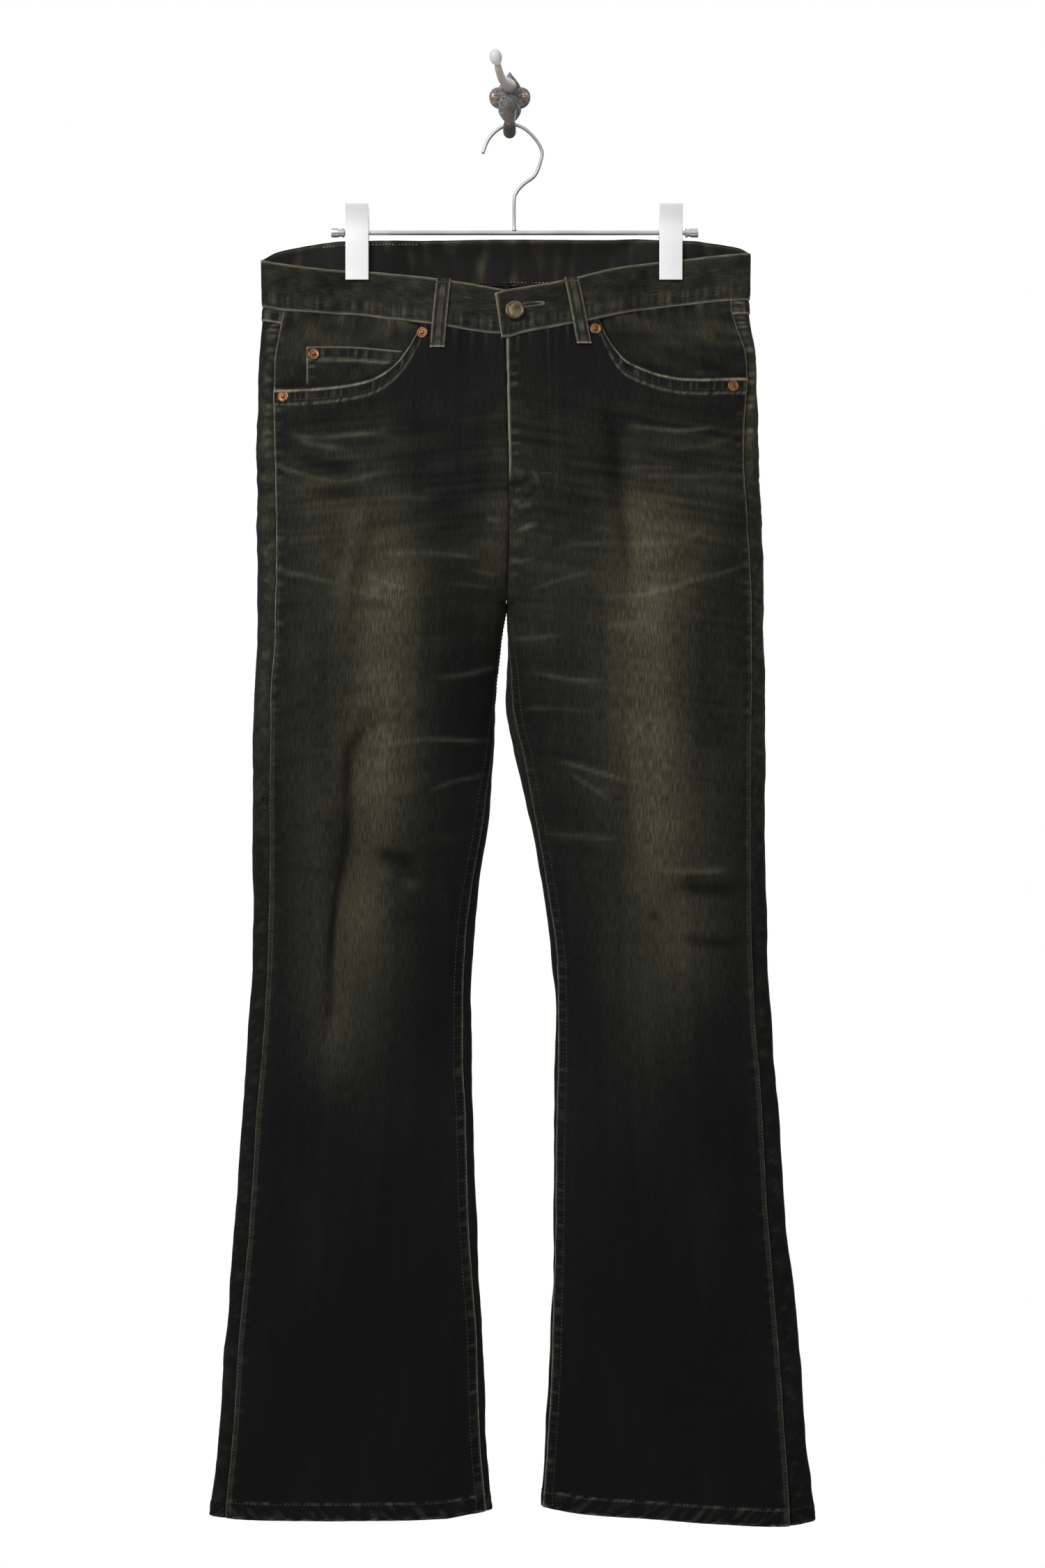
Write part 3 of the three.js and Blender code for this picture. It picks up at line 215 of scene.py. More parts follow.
# Folds and creases on each face: x and z of both ends, height, half-width, and how worn (below 0, painted
# shade)
CREASES = {
    "front": (
        (-108, -520, -137, -615, -9, 11, 0), (-132, -560, -146, -740, -10, 12, 0),
        (-143, -690, -160, -840, -6, 13, 0), (-84, -560, -112, -760, 5, 16, 0),
        (89, -265, 101, -405, -7, 10, 0), (97, -360, 108, -480, -7, 12, 0),
        (104, -560, 100, -720, -4, 14, 0), (148, -430, 140, -640, 5, 22, 0),
        (-160, -330, -60, -372, -5, 12, 0), (-175, -400, -72, -436, -4, 11, 0),
        (168, -330, 62, -380, -5, 12, 0), (176, -404, 96, -440, -4, 11, 0),
        (-78, -672, -116, -706, -4, 9, 0), (128, -702, 176, -684, -4, 9, 0),
        # painted shade in narrow troughs of the large folds
        (-88, -541, -125, -556, -1.6, 5, -0.5), (-118, -550, -140, -584, -2, 4.5, -0.7),
        (-133, -556, -143, -668, -2.4, 4, -1), (-139, -616, -152, -760, -2.6, 3.6, -1.2),
        (-146, -700, -161, -834, -2.4, 3.6, -1.1), (88, -288, 97, -372, -1.2, 5, -0.7),
        (93, -352, 104, -430, -1.6, 5, -0.7), (103, -572, 101, -700, -0.8, 6, -0.4),
        # a soft upright fold edge on the right thigh, worn pale outside and with painted shade inside
        (-121, -350, -150, -475, 2.4, 8, 0.26), (-108, -362, -134, -470, -1.4, 6, -0.2),
        # worn lines across the hips and thighs, with painted shade in the troughs between some
        (-198, -301, -92, -306, 0.7, 1.8, 0.85), (-182, -305, -134, -315, 1, 2.8, 0.8),
        (-192, -319, -122, -332, -1.6, 5.5, -1.6), (-208, -329, -138, -344, 0.9, 2.2, 0.65),
        (-150, -343, -98, -339, 0.8, 2.2, 0.36), (-178, -351, -118, -353, -1.2, 5, -1),
        (-124, -361, -56, -363, 0.6, 1.8, 0.3), (-126, -402, -2, -411, 0.8, 2, 0.44),
        (-206, -417, -128, -439, 0.8, 2.2, 0.46), (-142, -437, -96, -443, 0.8, 2.4, 0.36),
        (-128, -420, -82, -434, 0.8, 2.2, 0.42), (-56, -433, -6, -437, 0.7, 1.8, 0.36),
        (-20, -373, -4, -376, 0.8, 1.8, 0.5), (-34, -393, -3, -396, 0.8, 1.8, 0.42),
        (-38, -420, -4, -424, 0.7, 1.8, 0.4), (-136, -448, -92, -452, -1, 5, -0.5),
        (-126, -566, -6, -561, 0.8, 1.9, 0.5), (-68, -510, -4, -501, 0.7, 1.7, 0.5),
        (-70, -609, -16, -593, 0.7, 1.8, 0.42), (-200, -672, -130, -678, -0.9, 5, -0.3),
        (-120, -663, -74, -669, -2.2, 7, -1.5), (-120, -680, -70, -688, 1.2, 5, 0.2),
        (-112, -716, -52, -722, -1.2, 9, -0.5), (92, -299, 186, -295, 0.7, 1.8, 0.75),
        (126, -317, 200, -306, 0.8, 2.6, 0.36), (96, -334, 152, -332, 0.6, 1.8, 0.34),
        (90, -345, 192, -337, 0.8, 2.2, 0.42), (100, -322, 180, -324, -1, 5, -0.6),
        (36, -405, 90, -397, 0.7, 1.8, 0.4), (82, -397, 152, -400, 0.9, 2.6, 0.5),
        (140, -402, 170, -385, 0.6, 2, 0.3), (-4, -413, 24, -409, 0.6, 1.8, 0.36),
        (8, -437, 76, -424, 0.6, 1.8, 0.34), (72, -447, 184, -422, 0.9, 2.5, 0.56),
        (168, -428, 206, -410, 0.7, 1.9, 0.5), (-2, -479, 48, -470, 0.7, 1.8, 0.44),
        (76, -472, 128, -459, 0.8, 3, 0.34), (12, -504, 90, -514, 0.7, 1.8, 0.56),
        (0, -538, 78, -538, 0.7, 1.8, 0.42), (30, -584, 126, -599, 0.9, 1.9, 0.66),
        (46, -592, 94, -618, 0.8, 2, 0.4), (22, -637, 106, -654, 0.7, 1.9, 0.36),
        (120, -675, 192, -674, 1.1, 2.6, 0.6), (136, -686, 206, -690, -2, 6, -1.4),
        (140, -733, 206, -736, -1.6, 6, -1.2),
        (116, -716, 132, -716, -1, 4, -0.8), (134, -728, 190, -727, 0.7, 3, 0.2),
        # around the foot of the fly, where the cloth is crumpled over the zip's end: worn pale on the crests,
        # painted shade in the troughs
        (1, -386, 26, -381, 1, 1.8, 0.7), (33, -378, 34, -401, 0.9, 2, 0.9),
        (1, -335, 14, -343, 1.2, 1.8, 0.4), (5, -350, 21, -342, -2, 2.6, -1.1),
        (3, -359, 12, -348, 1.2, 1.7, 0.4), (11, -362, 25, -352, -2, 2.5, -1.1),
        (1, -368, 23, -364, 1.1, 1.7, 0.4), (17, -334, 25, -350, 1, 1.7, 0.4),
        (0, -345, 8, -353, -1.6, 2.4, -1), (6, -373, 27, -371, -1.3, 2.2, -0.8),
        (40, -262, 41, -392, 0.5, 1.6, 0.1), (41, -380, 33, -400, 0.4, 1.4, 0.1),
    ),
    "back": (
        (-190, -425, -60, -470, -7, 13, 0), (62, -474, 188, -430, -7, 13, 0),
        (-170, -500, -70, -528, -4, 13, 0), (76, -535, 176, -506, -4, 13, 0),
        (-190, -668, -84, -700, -5, 12, 0), (90, -706, 186, -672, -5, 12, 0),
        (-150, -760, -120, -980, 4, 22, 0), (140, -770, 128, -1010, 4, 22, 0),
        # worn lines below the seat and behind the knees, with painted shade in the troughs between some
        (-186, -418, -70, -452, 1, 4, 0.3), (70, -458, 184, -420, 1, 4, 0.3),
        (-160, -438, -60, -476, 0.9, 3, 0.26), (62, -482, 160, -440, 0.9, 3, 0.26),
        (-150, -484, -50, -500, 0.8, 3, 0.24), (52, -506, 158, -486, 0.8, 3, 0.24),
        (-190, -640, -96, -655, 0.9, 4, 0.3), (100, -658, 186, -640, 0.9, 4, 0.3),
        (-176, -662, -70, -694, -1.5, 5, -0.7), (78, -700, 180, -664, -1.5, 5, -0.7),
        (-180, -690, -90, -716, 0.9, 3.5, 0.3), (96, -720, 184, -690, 0.9, 3.5, 0.3),
        (-170, -722, -104, -734, -1.2, 5, -0.5), (108, -738, 174, -720, -1.2, 5, -0.5),
        (-150, -750, -90, -758, 0.8, 4, 0.24), (92, -760, 160, -748, 0.8, 4, 0.24),
    ),
}
# Where wear has faded the cloth: x, z, half-width, half-height and strength of each soft patch
FADES = {
    "front": (
        # broad grey-green fields over the hips and thighs
        (-142, -372, 74, 120, 0.3), (138, -364, 80, 120, 0.28), (-122, -560, 58, 150, 0.31),
        (122, -560, 68, 170, 0.34), (-140, -760, 60, 100, 0.22), (130, -760, 66, 100, 0.24),
        (4, -350, 52, 110, 0.2), (-12, -405, 12, 50, 0.16), (-176, -560, 24, 200, 0.1),
        (196, -560, 20, 200, 0.08), (6, -440, 56, 60, 0.14), (40, -540, 40, 90, 0.1),
        # darker than the fields round them, below 0: beside the inner leg seams
        (-40, -480, 16, 130, -0.03), (-60, -330, 36, 40, -0.04),
        # brown worn cores down each thigh
        (-101, -440, 26, 58, 0.5), (-107, -520, 28, 52, 0.38), (-112, -600, 31, 58, 0.5),
        (-122, -710, 26, 50, 0.36), (-152, -812, 26, 56, 0.28), (118, -396, 31, 42, 0.43),
        (114, -460, 32, 54, 0.42), (120, -560, 32, 62, 0.45), (125, -640, 29, 56, 0.48),
        (143, -730, 28, 42, 0.16),
    ),
    "back": (
        (-110, -420, 130, 150, 0.24), (110, -420, 130, 150, 0.24), (-118, -640, 92, 150, 0.22),
        (122, -640, 92, 150, 0.22), (-112, -345, 64, 48, 0.4), (110, -345, 64, 48, 0.4),
        (-108, -470, 60, 60, 0.24), (108, -470, 60, 60, 0.24), (-128, -640, 50, 60, 0.26),
        (132, -640, 50, 60, 0.26), (-124, -780, 36, 80, 0.16), (132, -780, 36, 80, 0.16),
    ),
}


def smooth_step(start, end, value):
    """A cubic step from 0 where value is at start to 1 where it is at end."""
    t = np.clip((value - start) / (end - start), 0, 1)
    return t * t * (3 - 2 * t)


def smooth_line(rows, column=1):
    """A curve through rows of (place, height): between two rows a cubic, whose slope at each row is the
    harmonic mean of the slopes on its two sides, and flat where they differ in sign."""
    place, height = np.array(sorted((row[0], row[column]) for row in rows), float).T
    slope = np.diff(height) / np.diff(place)
    product = slope[:-1] * slope[1:]
    total = np.where(product <= 0, 1, slope[:-1] + slope[1:])
    inner = np.where(product <= 0, 0, 2 * product / total)
    tangent = np.concatenate([slope[:1], inner, slope[-1:]])

    def height_at(x):
        x = np.clip(x, place[0], place[-1])
        i = np.clip(np.searchsorted(place, x, side="right") - 1, 0, len(place) - 2)
        step = place[i + 1] - place[i]
        t = (x - place[i]) / step
        return (height[i] * (1 + 2 * t) * (1 - t) ** 2 + tangent[i] * step * t * (1 - t) ** 2
                + height[i + 1] * t * t * (3 - 2 * t) + tangent[i + 1] * step * t * t * (t - 1))
    return height_at


section = {name: smooth_line(SECTION_ROWS, i + 1) for i, name in enumerate(SECTION_NAMES)}
centre_seam = smooth_line(CENTRE_SEAM)
front_top = {side: smooth_line(rows) for side, rows in FRONT_TOP.items()}
front_low = {side: smooth_line(rows) for side, rows in FRONT_LOW.items()}
pocket_mouth = {side: smooth_line(rows) for side, rows in POCKET_MOUTH.items()}
hem_edge = {side: smooth_line(rows) for side, rows in HEM.items()}
SIGN = {"right": -1, "left": 1}
SIDES = tuple(SIGN)


def inner_x(side, z, overlap=0):
    """x of a side's inner edge: the centre seam above the crotch, with the cloth run on past it by
    overlap, and the inside of the leg below."""
    part = SIGN[side] * SEAM_GAP / 2
    lapped = overlap * smooth_step(CROTCH_Z, CROTCH_Z + 14, z)
    body = centre_seam(z) + part - SIGN[side] * lapped
    return np.where(z > CROTCH_Z, body, section["in_" + side](z) + part)


def waves(place, seed, shortest, longest, count=16):
    """Soft unevenness from about -1 to 1: the sum of waves of random direction and phase whose lengths
    lie from shortest to longest. place holds two coordinates in its last axis."""
    draw = np.random.default_rng(seed)
    total = 0
    for length in np.geomspace(shortest, longest, count):
        turn, phase = draw.uniform(0, 2 * np.pi, 2)
        across = place[..., 0] * np.cos(turn) + place[..., 1] * np.sin(turn)
        total = total + np.sin(2 * np.pi * across / length + phase)
    return total / np.sqrt(count)


def ripple(along, period, seed):
    """An uneven ripple along a seam from -1 to 1: a sine whose spacing and height both drift."""
    a, b, c, d = np.random.default_rng(seed).uniform(0, 2 * np.pi, 4)
    turn = 2 * np.pi * along / period
    drift = 1.3 * np.sin(turn / 5.3 + a) + 0.8 * np.sin(turn / 2.6 + b)
    size = 0.6 + 0.4 * np.sin(turn / 4.1 + c)
    return np.sin(turn + drift + d) * size


def crease_sums(face, x, z):
    """Height and wear of all the creases at x, z, wear below 0 being painted shade: each is a Gaussian across
    its line, faded at its ends.
    """
    height, wear_and_shade = 0, 0
    drift = 2.2 * np.sin(x / 17 + z / 29) + 1.6 * np.sin(x / 41 - z / 23 + 1)
    for x1, z1, x2, z2, crease_height, spread, worn in CREASES[face]:
        length = math.hypot(x2 - x1, z2 - z1)
        along = ((x - x1) * (x2 - x1) + (z - z1) * (z2 - z1)) / length ** 2
        aside = ((x - x1) * (z2 - z1) - (z - z1) * (x2 - x1)) / length
        aside = (aside + (drift if worn else 0)) / spread
        ends = smooth_step(0, 0.35, along) * smooth_step(1, 0.65, along)
        shape = ends * np.exp(-aside ** 2)
        height = height + crease_height * shape
        wear_and_shade = wear_and_shade + worn * shape
    return height, wear_and_shade


def fade_sum(face, x, z):
    """How faded the cloth is at x, z: the soft patches' Gaussians, joined so that they never pass 1, over a
    little fading everywhere above the shin."""
    kept = 1 - 0.06 * smooth_step(-1180, -900, z)
    for at_x, at_z, half_width, half_height, strength in FADES[face]:
        reach = ((x - at_x) / half_width) ** 2 + ((z - at_z) / half_height) ** 2
        kept = kept * (1 - strength * np.exp(-reach))
    return 1 - kept


def body_point(side, face, angle, z, overlap=0):
    """A point of the garment's outer face. Across a side, x goes from its outer to its inner edge as
    (1 - cos angle) / 2. The bulge is the section's depth times (1 - reach^2)^(power / 2), where reach
    falls from 1 at the outer edge to 0 at centre front or to -1 inside a leg. Clips squeeze it, folds are
    added, and angles below 0 or above pi go round onto the other face."""
    angle, z = np.broadcast_arrays(np.asarray(angle, float), np.asarray(z, float))
    share = (1 - np.cos(angle)) / 2
    outer = section["out_" + side](z)
    x = outer + (inner_x(side, z, overlap) - outer) * share
    turn = np.clip((RISE_TURN_Z - z) / (RISE_TURN_Z - CROTCH_Z), 0, 1)
    reach = 1 - share * (1 + turn)
    rounding = np.maximum(0, 1 - reach ** 2) ** (SECTION_POWER / 2)
    on_front = ((angle < 0) | (angle > np.pi)) != (face == "front")
    depth = np.where(on_front, section["front"](z), section["back"](z)) * rounding
    hold = 1 - smooth_step(PINCH_HOLD_Z, PINCH_END_Z, z)
    squeeze = 1
    for clip_x in CLIP_X:
        near = 1 / (1 + ((x - clip_x) / PINCH_SPREAD) ** 4)
        squeeze = squeeze * (1 - hold * near * (1 - PINCH_HALF / np.maximum(depth, PINCH_HALF)))
    fold = np.where(on_front, crease_sums("front", x, z)[0], crease_sums("back", x, z)[0])
    bulge = depth * squeeze + fold * rounding
    return np.stack([x, section["mid"](z) + np.where(on_front, -bulge, bulge), z], axis=-1)


def body_frame(side, face, angle, z, overlap=0):
    """body_point and its outward direction: the cross product of the differences across and down."""
    angle, z = np.broadcast_arrays(np.asarray(angle, float), np.asarray(z, float))
    point = body_point(side, face, angle, z, overlap)
    step = 0.03
    ahead = np.where(z < CROTCH_Z, angle + step, np.minimum(np.pi, angle + step))
    across = body_point(side, face, ahead, z, overlap) - body_point(side, face, angle - step, z, overlap)
    down = body_point(side, face, angle, z - 1, overlap) - body_point(side, face, angle, z + 1, overlap)
    out = np.cross(across, down)
    out /= np.linalg.norm(out, axis=-1, keepdims=True)
    out *= SIGN[side] * (1 if face == "front" else -1)
    leans = (angle > 0.8 * np.pi) & (out[..., 0] * SIGN[side] > 0) & (z > CROTCH_Z)
    out[..., 0] = np.where(leans, 0, out[..., 0])
    return point, out / np.linalg.norm(out, axis=-1, keepdims=True)


def kept_to_body(angle, z):
    """Above the crotch there is no inside leg to go round, so angles stop at the centre."""
    return np.where(z > CROTCH_Z, np.minimum(angle, np.pi), angle)


def inset_angle(side, inset, z):
    """The angle at which x lies inset from an edge of a side."""
    width = np.abs(inner_x(side, z) - section["out_" + side](z))
    return np.arccos(1 - 2 * np.clip(inset / width, 0, 1))


SEAM_ANGLE = 0.0045
ARC_LEVELS = np.linspace(-120, -1245, 76)
EDGE_STEPS = np.array([0, 0.4, 0.9, 1.5, 2.2, 3.1, 4.2, 5.5, 7, 8.7, 10.5, 12.5])
MIDDLE_COLUMNS = 72
EDGE_PASSES = 4
TUCK = 3


def panel_columns(side, face, tuck_first, tuck_last):
    """Angles of a panel's columns at each of ARC_LEVELS, with their distances from both of its seams.
    The distance round the section is summed from the outer seam. Columns lie at EDGE_STEPS from each seam,
    evenly between, and TUCK further under the neighbour where the panel is tucked."""
    z = ARC_LEVELS[:, None]
    if face == "front":
        first = inset_angle(side, section["side_" + side](z), z) + SEAM_ANGLE
        last = np.pi - inset_angle(side, section["inseam_" + side](z), z)
    else:
        first = SEAM_ANGLE - inset_angle(side, section["side_" + side](z), z)
        last = np.pi + inset_angle(side, section["inseam_" + side](z), z)
    angle = np.linspace(-1.1, np.pi + 1.1, 500)[None]
    steps = np.linalg.norm(np.diff(body_point(side, face, kept_to_body(angle, z), z), axis=1), axis=-1)
    arc = np.concatenate([np.zeros((len(z), 1)), np.cumsum(steps, axis=1)], axis=1)
    table, from_first, from_last = [], [], []
    for level in range(len(z)):
        start, end = np.interp([first[level, 0], last[level, 0]], angle[0], arc[level])
        width = end - start
        low, high = EDGE_STEPS, width - EDGE_STEPS[::-1]
        middle = np.linspace(low[-1], high[0], MIDDLE_COLUMNS + 1)[1:-1]
        under_first = [-TUCK, -TUCK / 2] if tuck_first else []
        under_last = [width + TUCK / 2, width + TUCK] if tuck_last else []
        distance = np.concatenate([under_first, low, middle, high, under_last])
        table.append(np.interp(start + distance, arc[level], angle[0]))
        from_first.append(distance)
        from_last.append(width - distance)
    return np.array([table, from_first, from_last])


def at_height(columns, z):
    """The tables of panel_columns read at heights z, which has one row of heights for each column."""
    place = (ARC_LEVELS[0] - z) / (ARC_LEVELS[0] - ARC_LEVELS[1])
    level = np.clip(place.astype(int), 0, len(ARC_LEVELS) - 2)
    share = place - level
    column = np.arange(z.shape[0])[:, None]
    return columns[:, level, column] * (1 - share) + columns[:, level + 1, column] * share


def meet_edge(side, face, columns, edge):
    """Heights at which the columns meet an edge that runs across the body, found in a few passes."""
    z = np.full((columns.shape[2], 1), NEAR_TOP_Z)
    for _ in range(EDGE_PASSES):
        angle = at_height(columns, z)[0]
        z = edge(body_point(side, face, angle, z)[..., 0], angle)
    return z


def hem_below(side, face, columns):
    """Height of the hem's edge at the foot of each column."""
    z = np.full((columns.shape[2], 1), NEAR_HEM_Z)
    return hem_edge[side](body_point(side, face, at_height(columns, z)[0], z)[..., 0])


# Rows below the top edge, down the rise and down the leg, and how much they crowd on the thigh
BELOW_TOP_ROWS = 34
RISE_ROWS = 76
LEG_ROWS = 262
THIGH_CROWDING = 1.3
HEM_STEPS = np.array([18, 16.2, 15, 14.3, 13.6, 12.6, 10.6, 8.6, 6.6, 4.8, 3.2, 2, 1.2, 0.6, 0.2, 0])


def panel_heights(top, hem):
    """Heights of a panel's rows in each column: tucked under what lies above, at EDGE_STEPS below the top
    edge, evenly to the start of the rise, by a quarter sine to the crotch, down the leg by a power that
    crowds them on the thigh, and at HEM_STEPS above the hem."""
    near_top = top - np.concatenate([[-TUCK, -TUCK / 2], EDGE_STEPS])
    share = np.arange(1, BELOW_TOP_ROWS + 1) / BELOW_TOP_ROWS
    to_rise = near_top[:, -1:] + (RISE_TURN_Z - near_top[:, -1:]) * share
    turn = np.sin(np.pi / 2 * np.arange(1, RISE_ROWS + 1) / RISE_ROWS)
    to_crotch = np.broadcast_to(RISE_TURN_Z + (CROTCH_Z - RISE_TURN_Z) * turn, (len(top), RISE_ROWS))
    near_hem = hem + HEM_STEPS
    share = (np.arange(1, LEG_ROWS) / LEG_ROWS) ** THIGH_CROWDING
    down_leg = CROTCH_Z + (near_hem[:, :1] - CROTCH_Z) * share
    return np.concatenate([near_top, to_rise, to_crotch, down_leg, near_hem], axis=1)


def rolled(distance, radius=0.9):
    """How far a folded edge falls away: a quarter circle over radius from the edge, 0 further in."""
    inside = np.clip(distance, 0, radius) - radius
    return np.sqrt(radius ** 2 - inside ** 2) - radius


def bump_at(distance, place, spread):
    """A Gaussian of the distance round place."""
    return np.exp(-((distance - place) / spread) ** 2)


def set_mesh(name, points, faces, finish, flat=None, marks=None, sharp_degrees=48):
    """An object from arrays: points in mm, faces of three or four indices, flat (UV, in metres) and marks
    (one value per point). Its faces are turned outward, and edges sharper than the limit stay sharp."""
    points = np.asarray(points, float).reshape(-1, 3)
    corner = points[faces]
    cross = np.cross(corner[:, 1] - corner[:, 0], corner[:, 2] - corner[:, 0])
    if faces.shape[1] == 4:
        cross = cross + np.cross(corner[:, 2] - corner[:, 0], corner[:, 3] - corner[:, 0])
    if (corner.mean(axis=1) * cross).sum() < 0:
        faces = faces[:, ::-1]
    mesh = bpy.data.meshes.new(name)
    mesh.vertices.add(len(points))
    mesh.vertices.foreach_set("co", (points * 0.001).astype(np.float32).ravel())
    mesh.loops.add(faces.size)
    mesh.loops.foreach_set("vertex_index", faces.astype(np.int32).ravel())
    mesh.polygons.add(len(faces))
    mesh.polygons.foreach_set("loop_start", np.arange(0, faces.size, faces.shape[1], dtype=np.int32))
    mesh.update(calc_edges=True)
    mesh.polygons.foreach_set("use_smooth", np.ones(len(faces), bool))
    mesh.set_sharp_from_angle(angle=math.radians(sharp_degrees))
    if flat is not None:
        layer = mesh.uv_layers.new(name="flat")
        at_corners = np.asarray(flat).reshape(-1, 2)[faces.ravel()]
        layer.data.foreach_set("uv", at_corners.astype(np.float32).ravel())
    for mark, values in (marks or {}).items():
        attribute = mesh.attributes.new(mark, "FLOAT", "POINT")
        attribute.data.foreach_set("value", np.asarray(values, np.float32).ravel())
    mesh.validate()
    piece = bpy.data.objects.new(name, mesh)
    scene.collection.objects.link(piece)
    mesh.materials.append(finish)
    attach(piece, "root")
    return piece


def wall_faces(columns, rows):
    """Faces of a closed wall: the outer grid, the inner grid turned over, and a rim round all four edges."""
    front = np.arange(columns * rows).reshape(columns, rows)
    back = front + columns * rows
    grid = [np.stack([g[:-1, :-1], g[1:, :-1], g[1:, 1:], g[:-1, 1:]], axis=-1).reshape(-1, 4)
            for g in (front, back)]
    edge = np.concatenate([front[:-1, 0], front[-1, :-1], front[:0:-1, -1], front[0, :0:-1]])
    ahead = np.roll(edge, -1)
    rim = np.stack([ahead, edge, edge + columns * rows, ahead + columns * rows], axis=-1)
    return np.concatenate([grid[0], grid[1][:, ::-1], rim])


def add_cloth(name, point, out, lift, wall, flat, fade, wear_and_shade, inside=1, inner_wear_and_light=0, nodes=None, **measures):
    """A closed wall of cloth: the outer face is point + out * lift, and the inner lies wall below it.
    fade and wear mark the outer face, wear below 0 being painted shade; inside and inner_wear_and_light mark
    the inner one, with painted highlight on the band's inner creases; flat is its plane in mm.
    It stands for the nodes, or for the one of its own name. Its grids are returned with the measures."""
    outer = point + out * lift[..., None]
    inner = outer - out * np.broadcast_to(wall, lift.shape)[..., None]
    zeros = np.zeros(lift.shape)
    marks = {
        "fade": np.stack([np.broadcast_to(fade, lift.shape), zeros]),
        "wear_and_shade": np.stack([np.broadcast_to(wear_and_shade, lift.shape), zeros + inner_wear_and_light]),
        "inside": np.stack([zeros, zeros + inside]),
    }
    points = np.stack([outer, inner])
    flat = np.stack(flat, axis=-1) * 0.001
    piece = set_mesh(name, points, wall_faces(*lift.shape), denim, np.stack([flat, flat]), marks)
    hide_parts(*(nodes or [name]))
    return {"surface": outer, "out": out, "piece": piece, **measures}


def make_denim():
    """Black denim: near-black cloth that turns grey-green, brown and tan as it fades, with slubs that run
    down the cloth, flecks of pale weft where it is worn, painted shade where the wear mark is below 0, and a
    fine twill in its relief."""
    finish = bpy.data.materials.new("denim")
    finish.use_nodes = True
    tree = finish.node_tree
    shader = tree.nodes["Principled BSDF"]
    place = add_node(tree, "ShaderNodeTexCoord").outputs["UV"]

    def grain(scale, detail):
        laid = add_node(tree, "ShaderNodeMapping", {"Vector": place, "Scale": scale}).outputs[0]
        return add_node(tree, "ShaderNodeTexNoise", {"Vector": laid, "Scale": 1, "Detail": detail}).outputs[0]

    def mark(name):
        return add_node(tree, "ShaderNodeAttribute", attribute_name=name).outputs["Fac"]

    def maths(operation, a, b, c=0.0):
        return add_node(tree, "ShaderNodeMath", {0: a, 1: b, 2: c}, operation=operation).outputs[0]

    def blended(amount, a, b):
        return add_node(tree, "ShaderNodeMix", {0: amount, 6: a, 7: b}, data_type="RGBA").outputs[2]

    slub = grain((900, 95, 1), 3)
    fleck = grain((1500, 620, 1), 2)
    patch = grain((13, 6, 1), 3)
    streak = grain((90, 5, 1), 2)
    grain_sum = maths("MULTIPLY_ADD", slub, 0.7, maths("MULTIPLY", fleck, 0.3))
    rough_grain = maths("MULTIPLY_ADD", grain_sum, 3.4, -1.7)

    # Depth of fade, broken up by the slubs and by broader streaks, read off a ramp of colours
    strength = maths("MULTIPLY_ADD", rough_grain, 0.62, 1.0)
    faded = maths("MULTIPLY", mark("fade"), strength)
    faded = maths("MULTIPLY_ADD", maths("SUBTRACT", patch, 0.5), 0.34, faded)
    faded = maths("MULTIPLY_ADD", maths("SUBTRACT", streak, 0.5), 0.16, faded)
    faded = maths("MULTIPLY_ADD", rough_grain, 0.045, faded)
    ramp = add_node(tree, "ShaderNodeValToRGB", {0: faded})
    stops = ((0.0, (0.0058, 0.0058, 0.0064)), (0.14, (0.0092, 0.0092, 0.0092)),
             (0.34, (0.021, 0.0232, 0.016)), (0.62, (0.06, 0.05, 0.033)), (1.0, (0.135, 0.115, 0.08)))
    ramp.color_ramp.elements[0].position = stops[0][0]
    ramp.color_ramp.elements[1].position = stops[-1][0]
    for position, _ in stops[1:-1]:
        ramp.color_ramp.elements.new(position)
    for element, (_, colour) in zip(ramp.color_ramp.elements, stops):
        element.color = (*colour, 1)

    worn = maths("MULTIPLY", mark("wear_and_shade"), maths("MULTIPLY_ADD", rough_grain, 0.6, 1.0))
    worn = add_node(tree, "ShaderNodeClamp", {0: worn}).outputs[0]
    # Below 0 the wear mark is painted shade: the colour is blended towards deep_shade in fold and pucker
    # troughs and just inside the pocket mouths
    shaded = add_node(tree, "ShaderNodeClamp", {0: maths("MULTIPLY", mark("wear_and_shade"), -1.0)}).outputs[0]
    worn_white, deep_shade, inner_grey = ((0.36, 0.33, 0.24, 1), (0.005, 0.0048, 0.0052, 1),
                                          (0.023, 0.0225, 0.0215, 1))
    colour = blended(worn, ramp.outputs[0], worn_white)
    colour = blended(maths("MULTIPLY", shaded, 0.7), colour, deep_shade)
    colour = blended(maths("MULTIPLY", mark("inside"), 0.8), colour, inner_grey)
    twill = add_node(tree, "ShaderNodeTexWave",
                     {"Vector": place, "Scale": 260, "Distortion": 1.2, "Detail": 1},
                     wave_type="BANDS", bands_direction="DIAGONAL").outputs["Fac"]
    relief = maths("MULTIPLY_ADD", twill, 0.3, grain_sum)
    bump = add_node(tree, "ShaderNodeBump", {"Height": relief, "Strength": 0.35, "Distance": 0.0006})
    tree.links.new(colour, shader.inputs["Base Color"])
    tree.links.new(bump.outputs[0], shader.inputs["Normal"])
    shader.inputs["Roughness"].default_value = 0.85
    shader.inputs["Specular IOR Level"].default_value = 0.06
    shader.inputs["Sheen Weight"].default_value = 0.02
    shader.inputs["Sheen Roughness"].default_value = 0.5
    return finish


denim = make_denim()


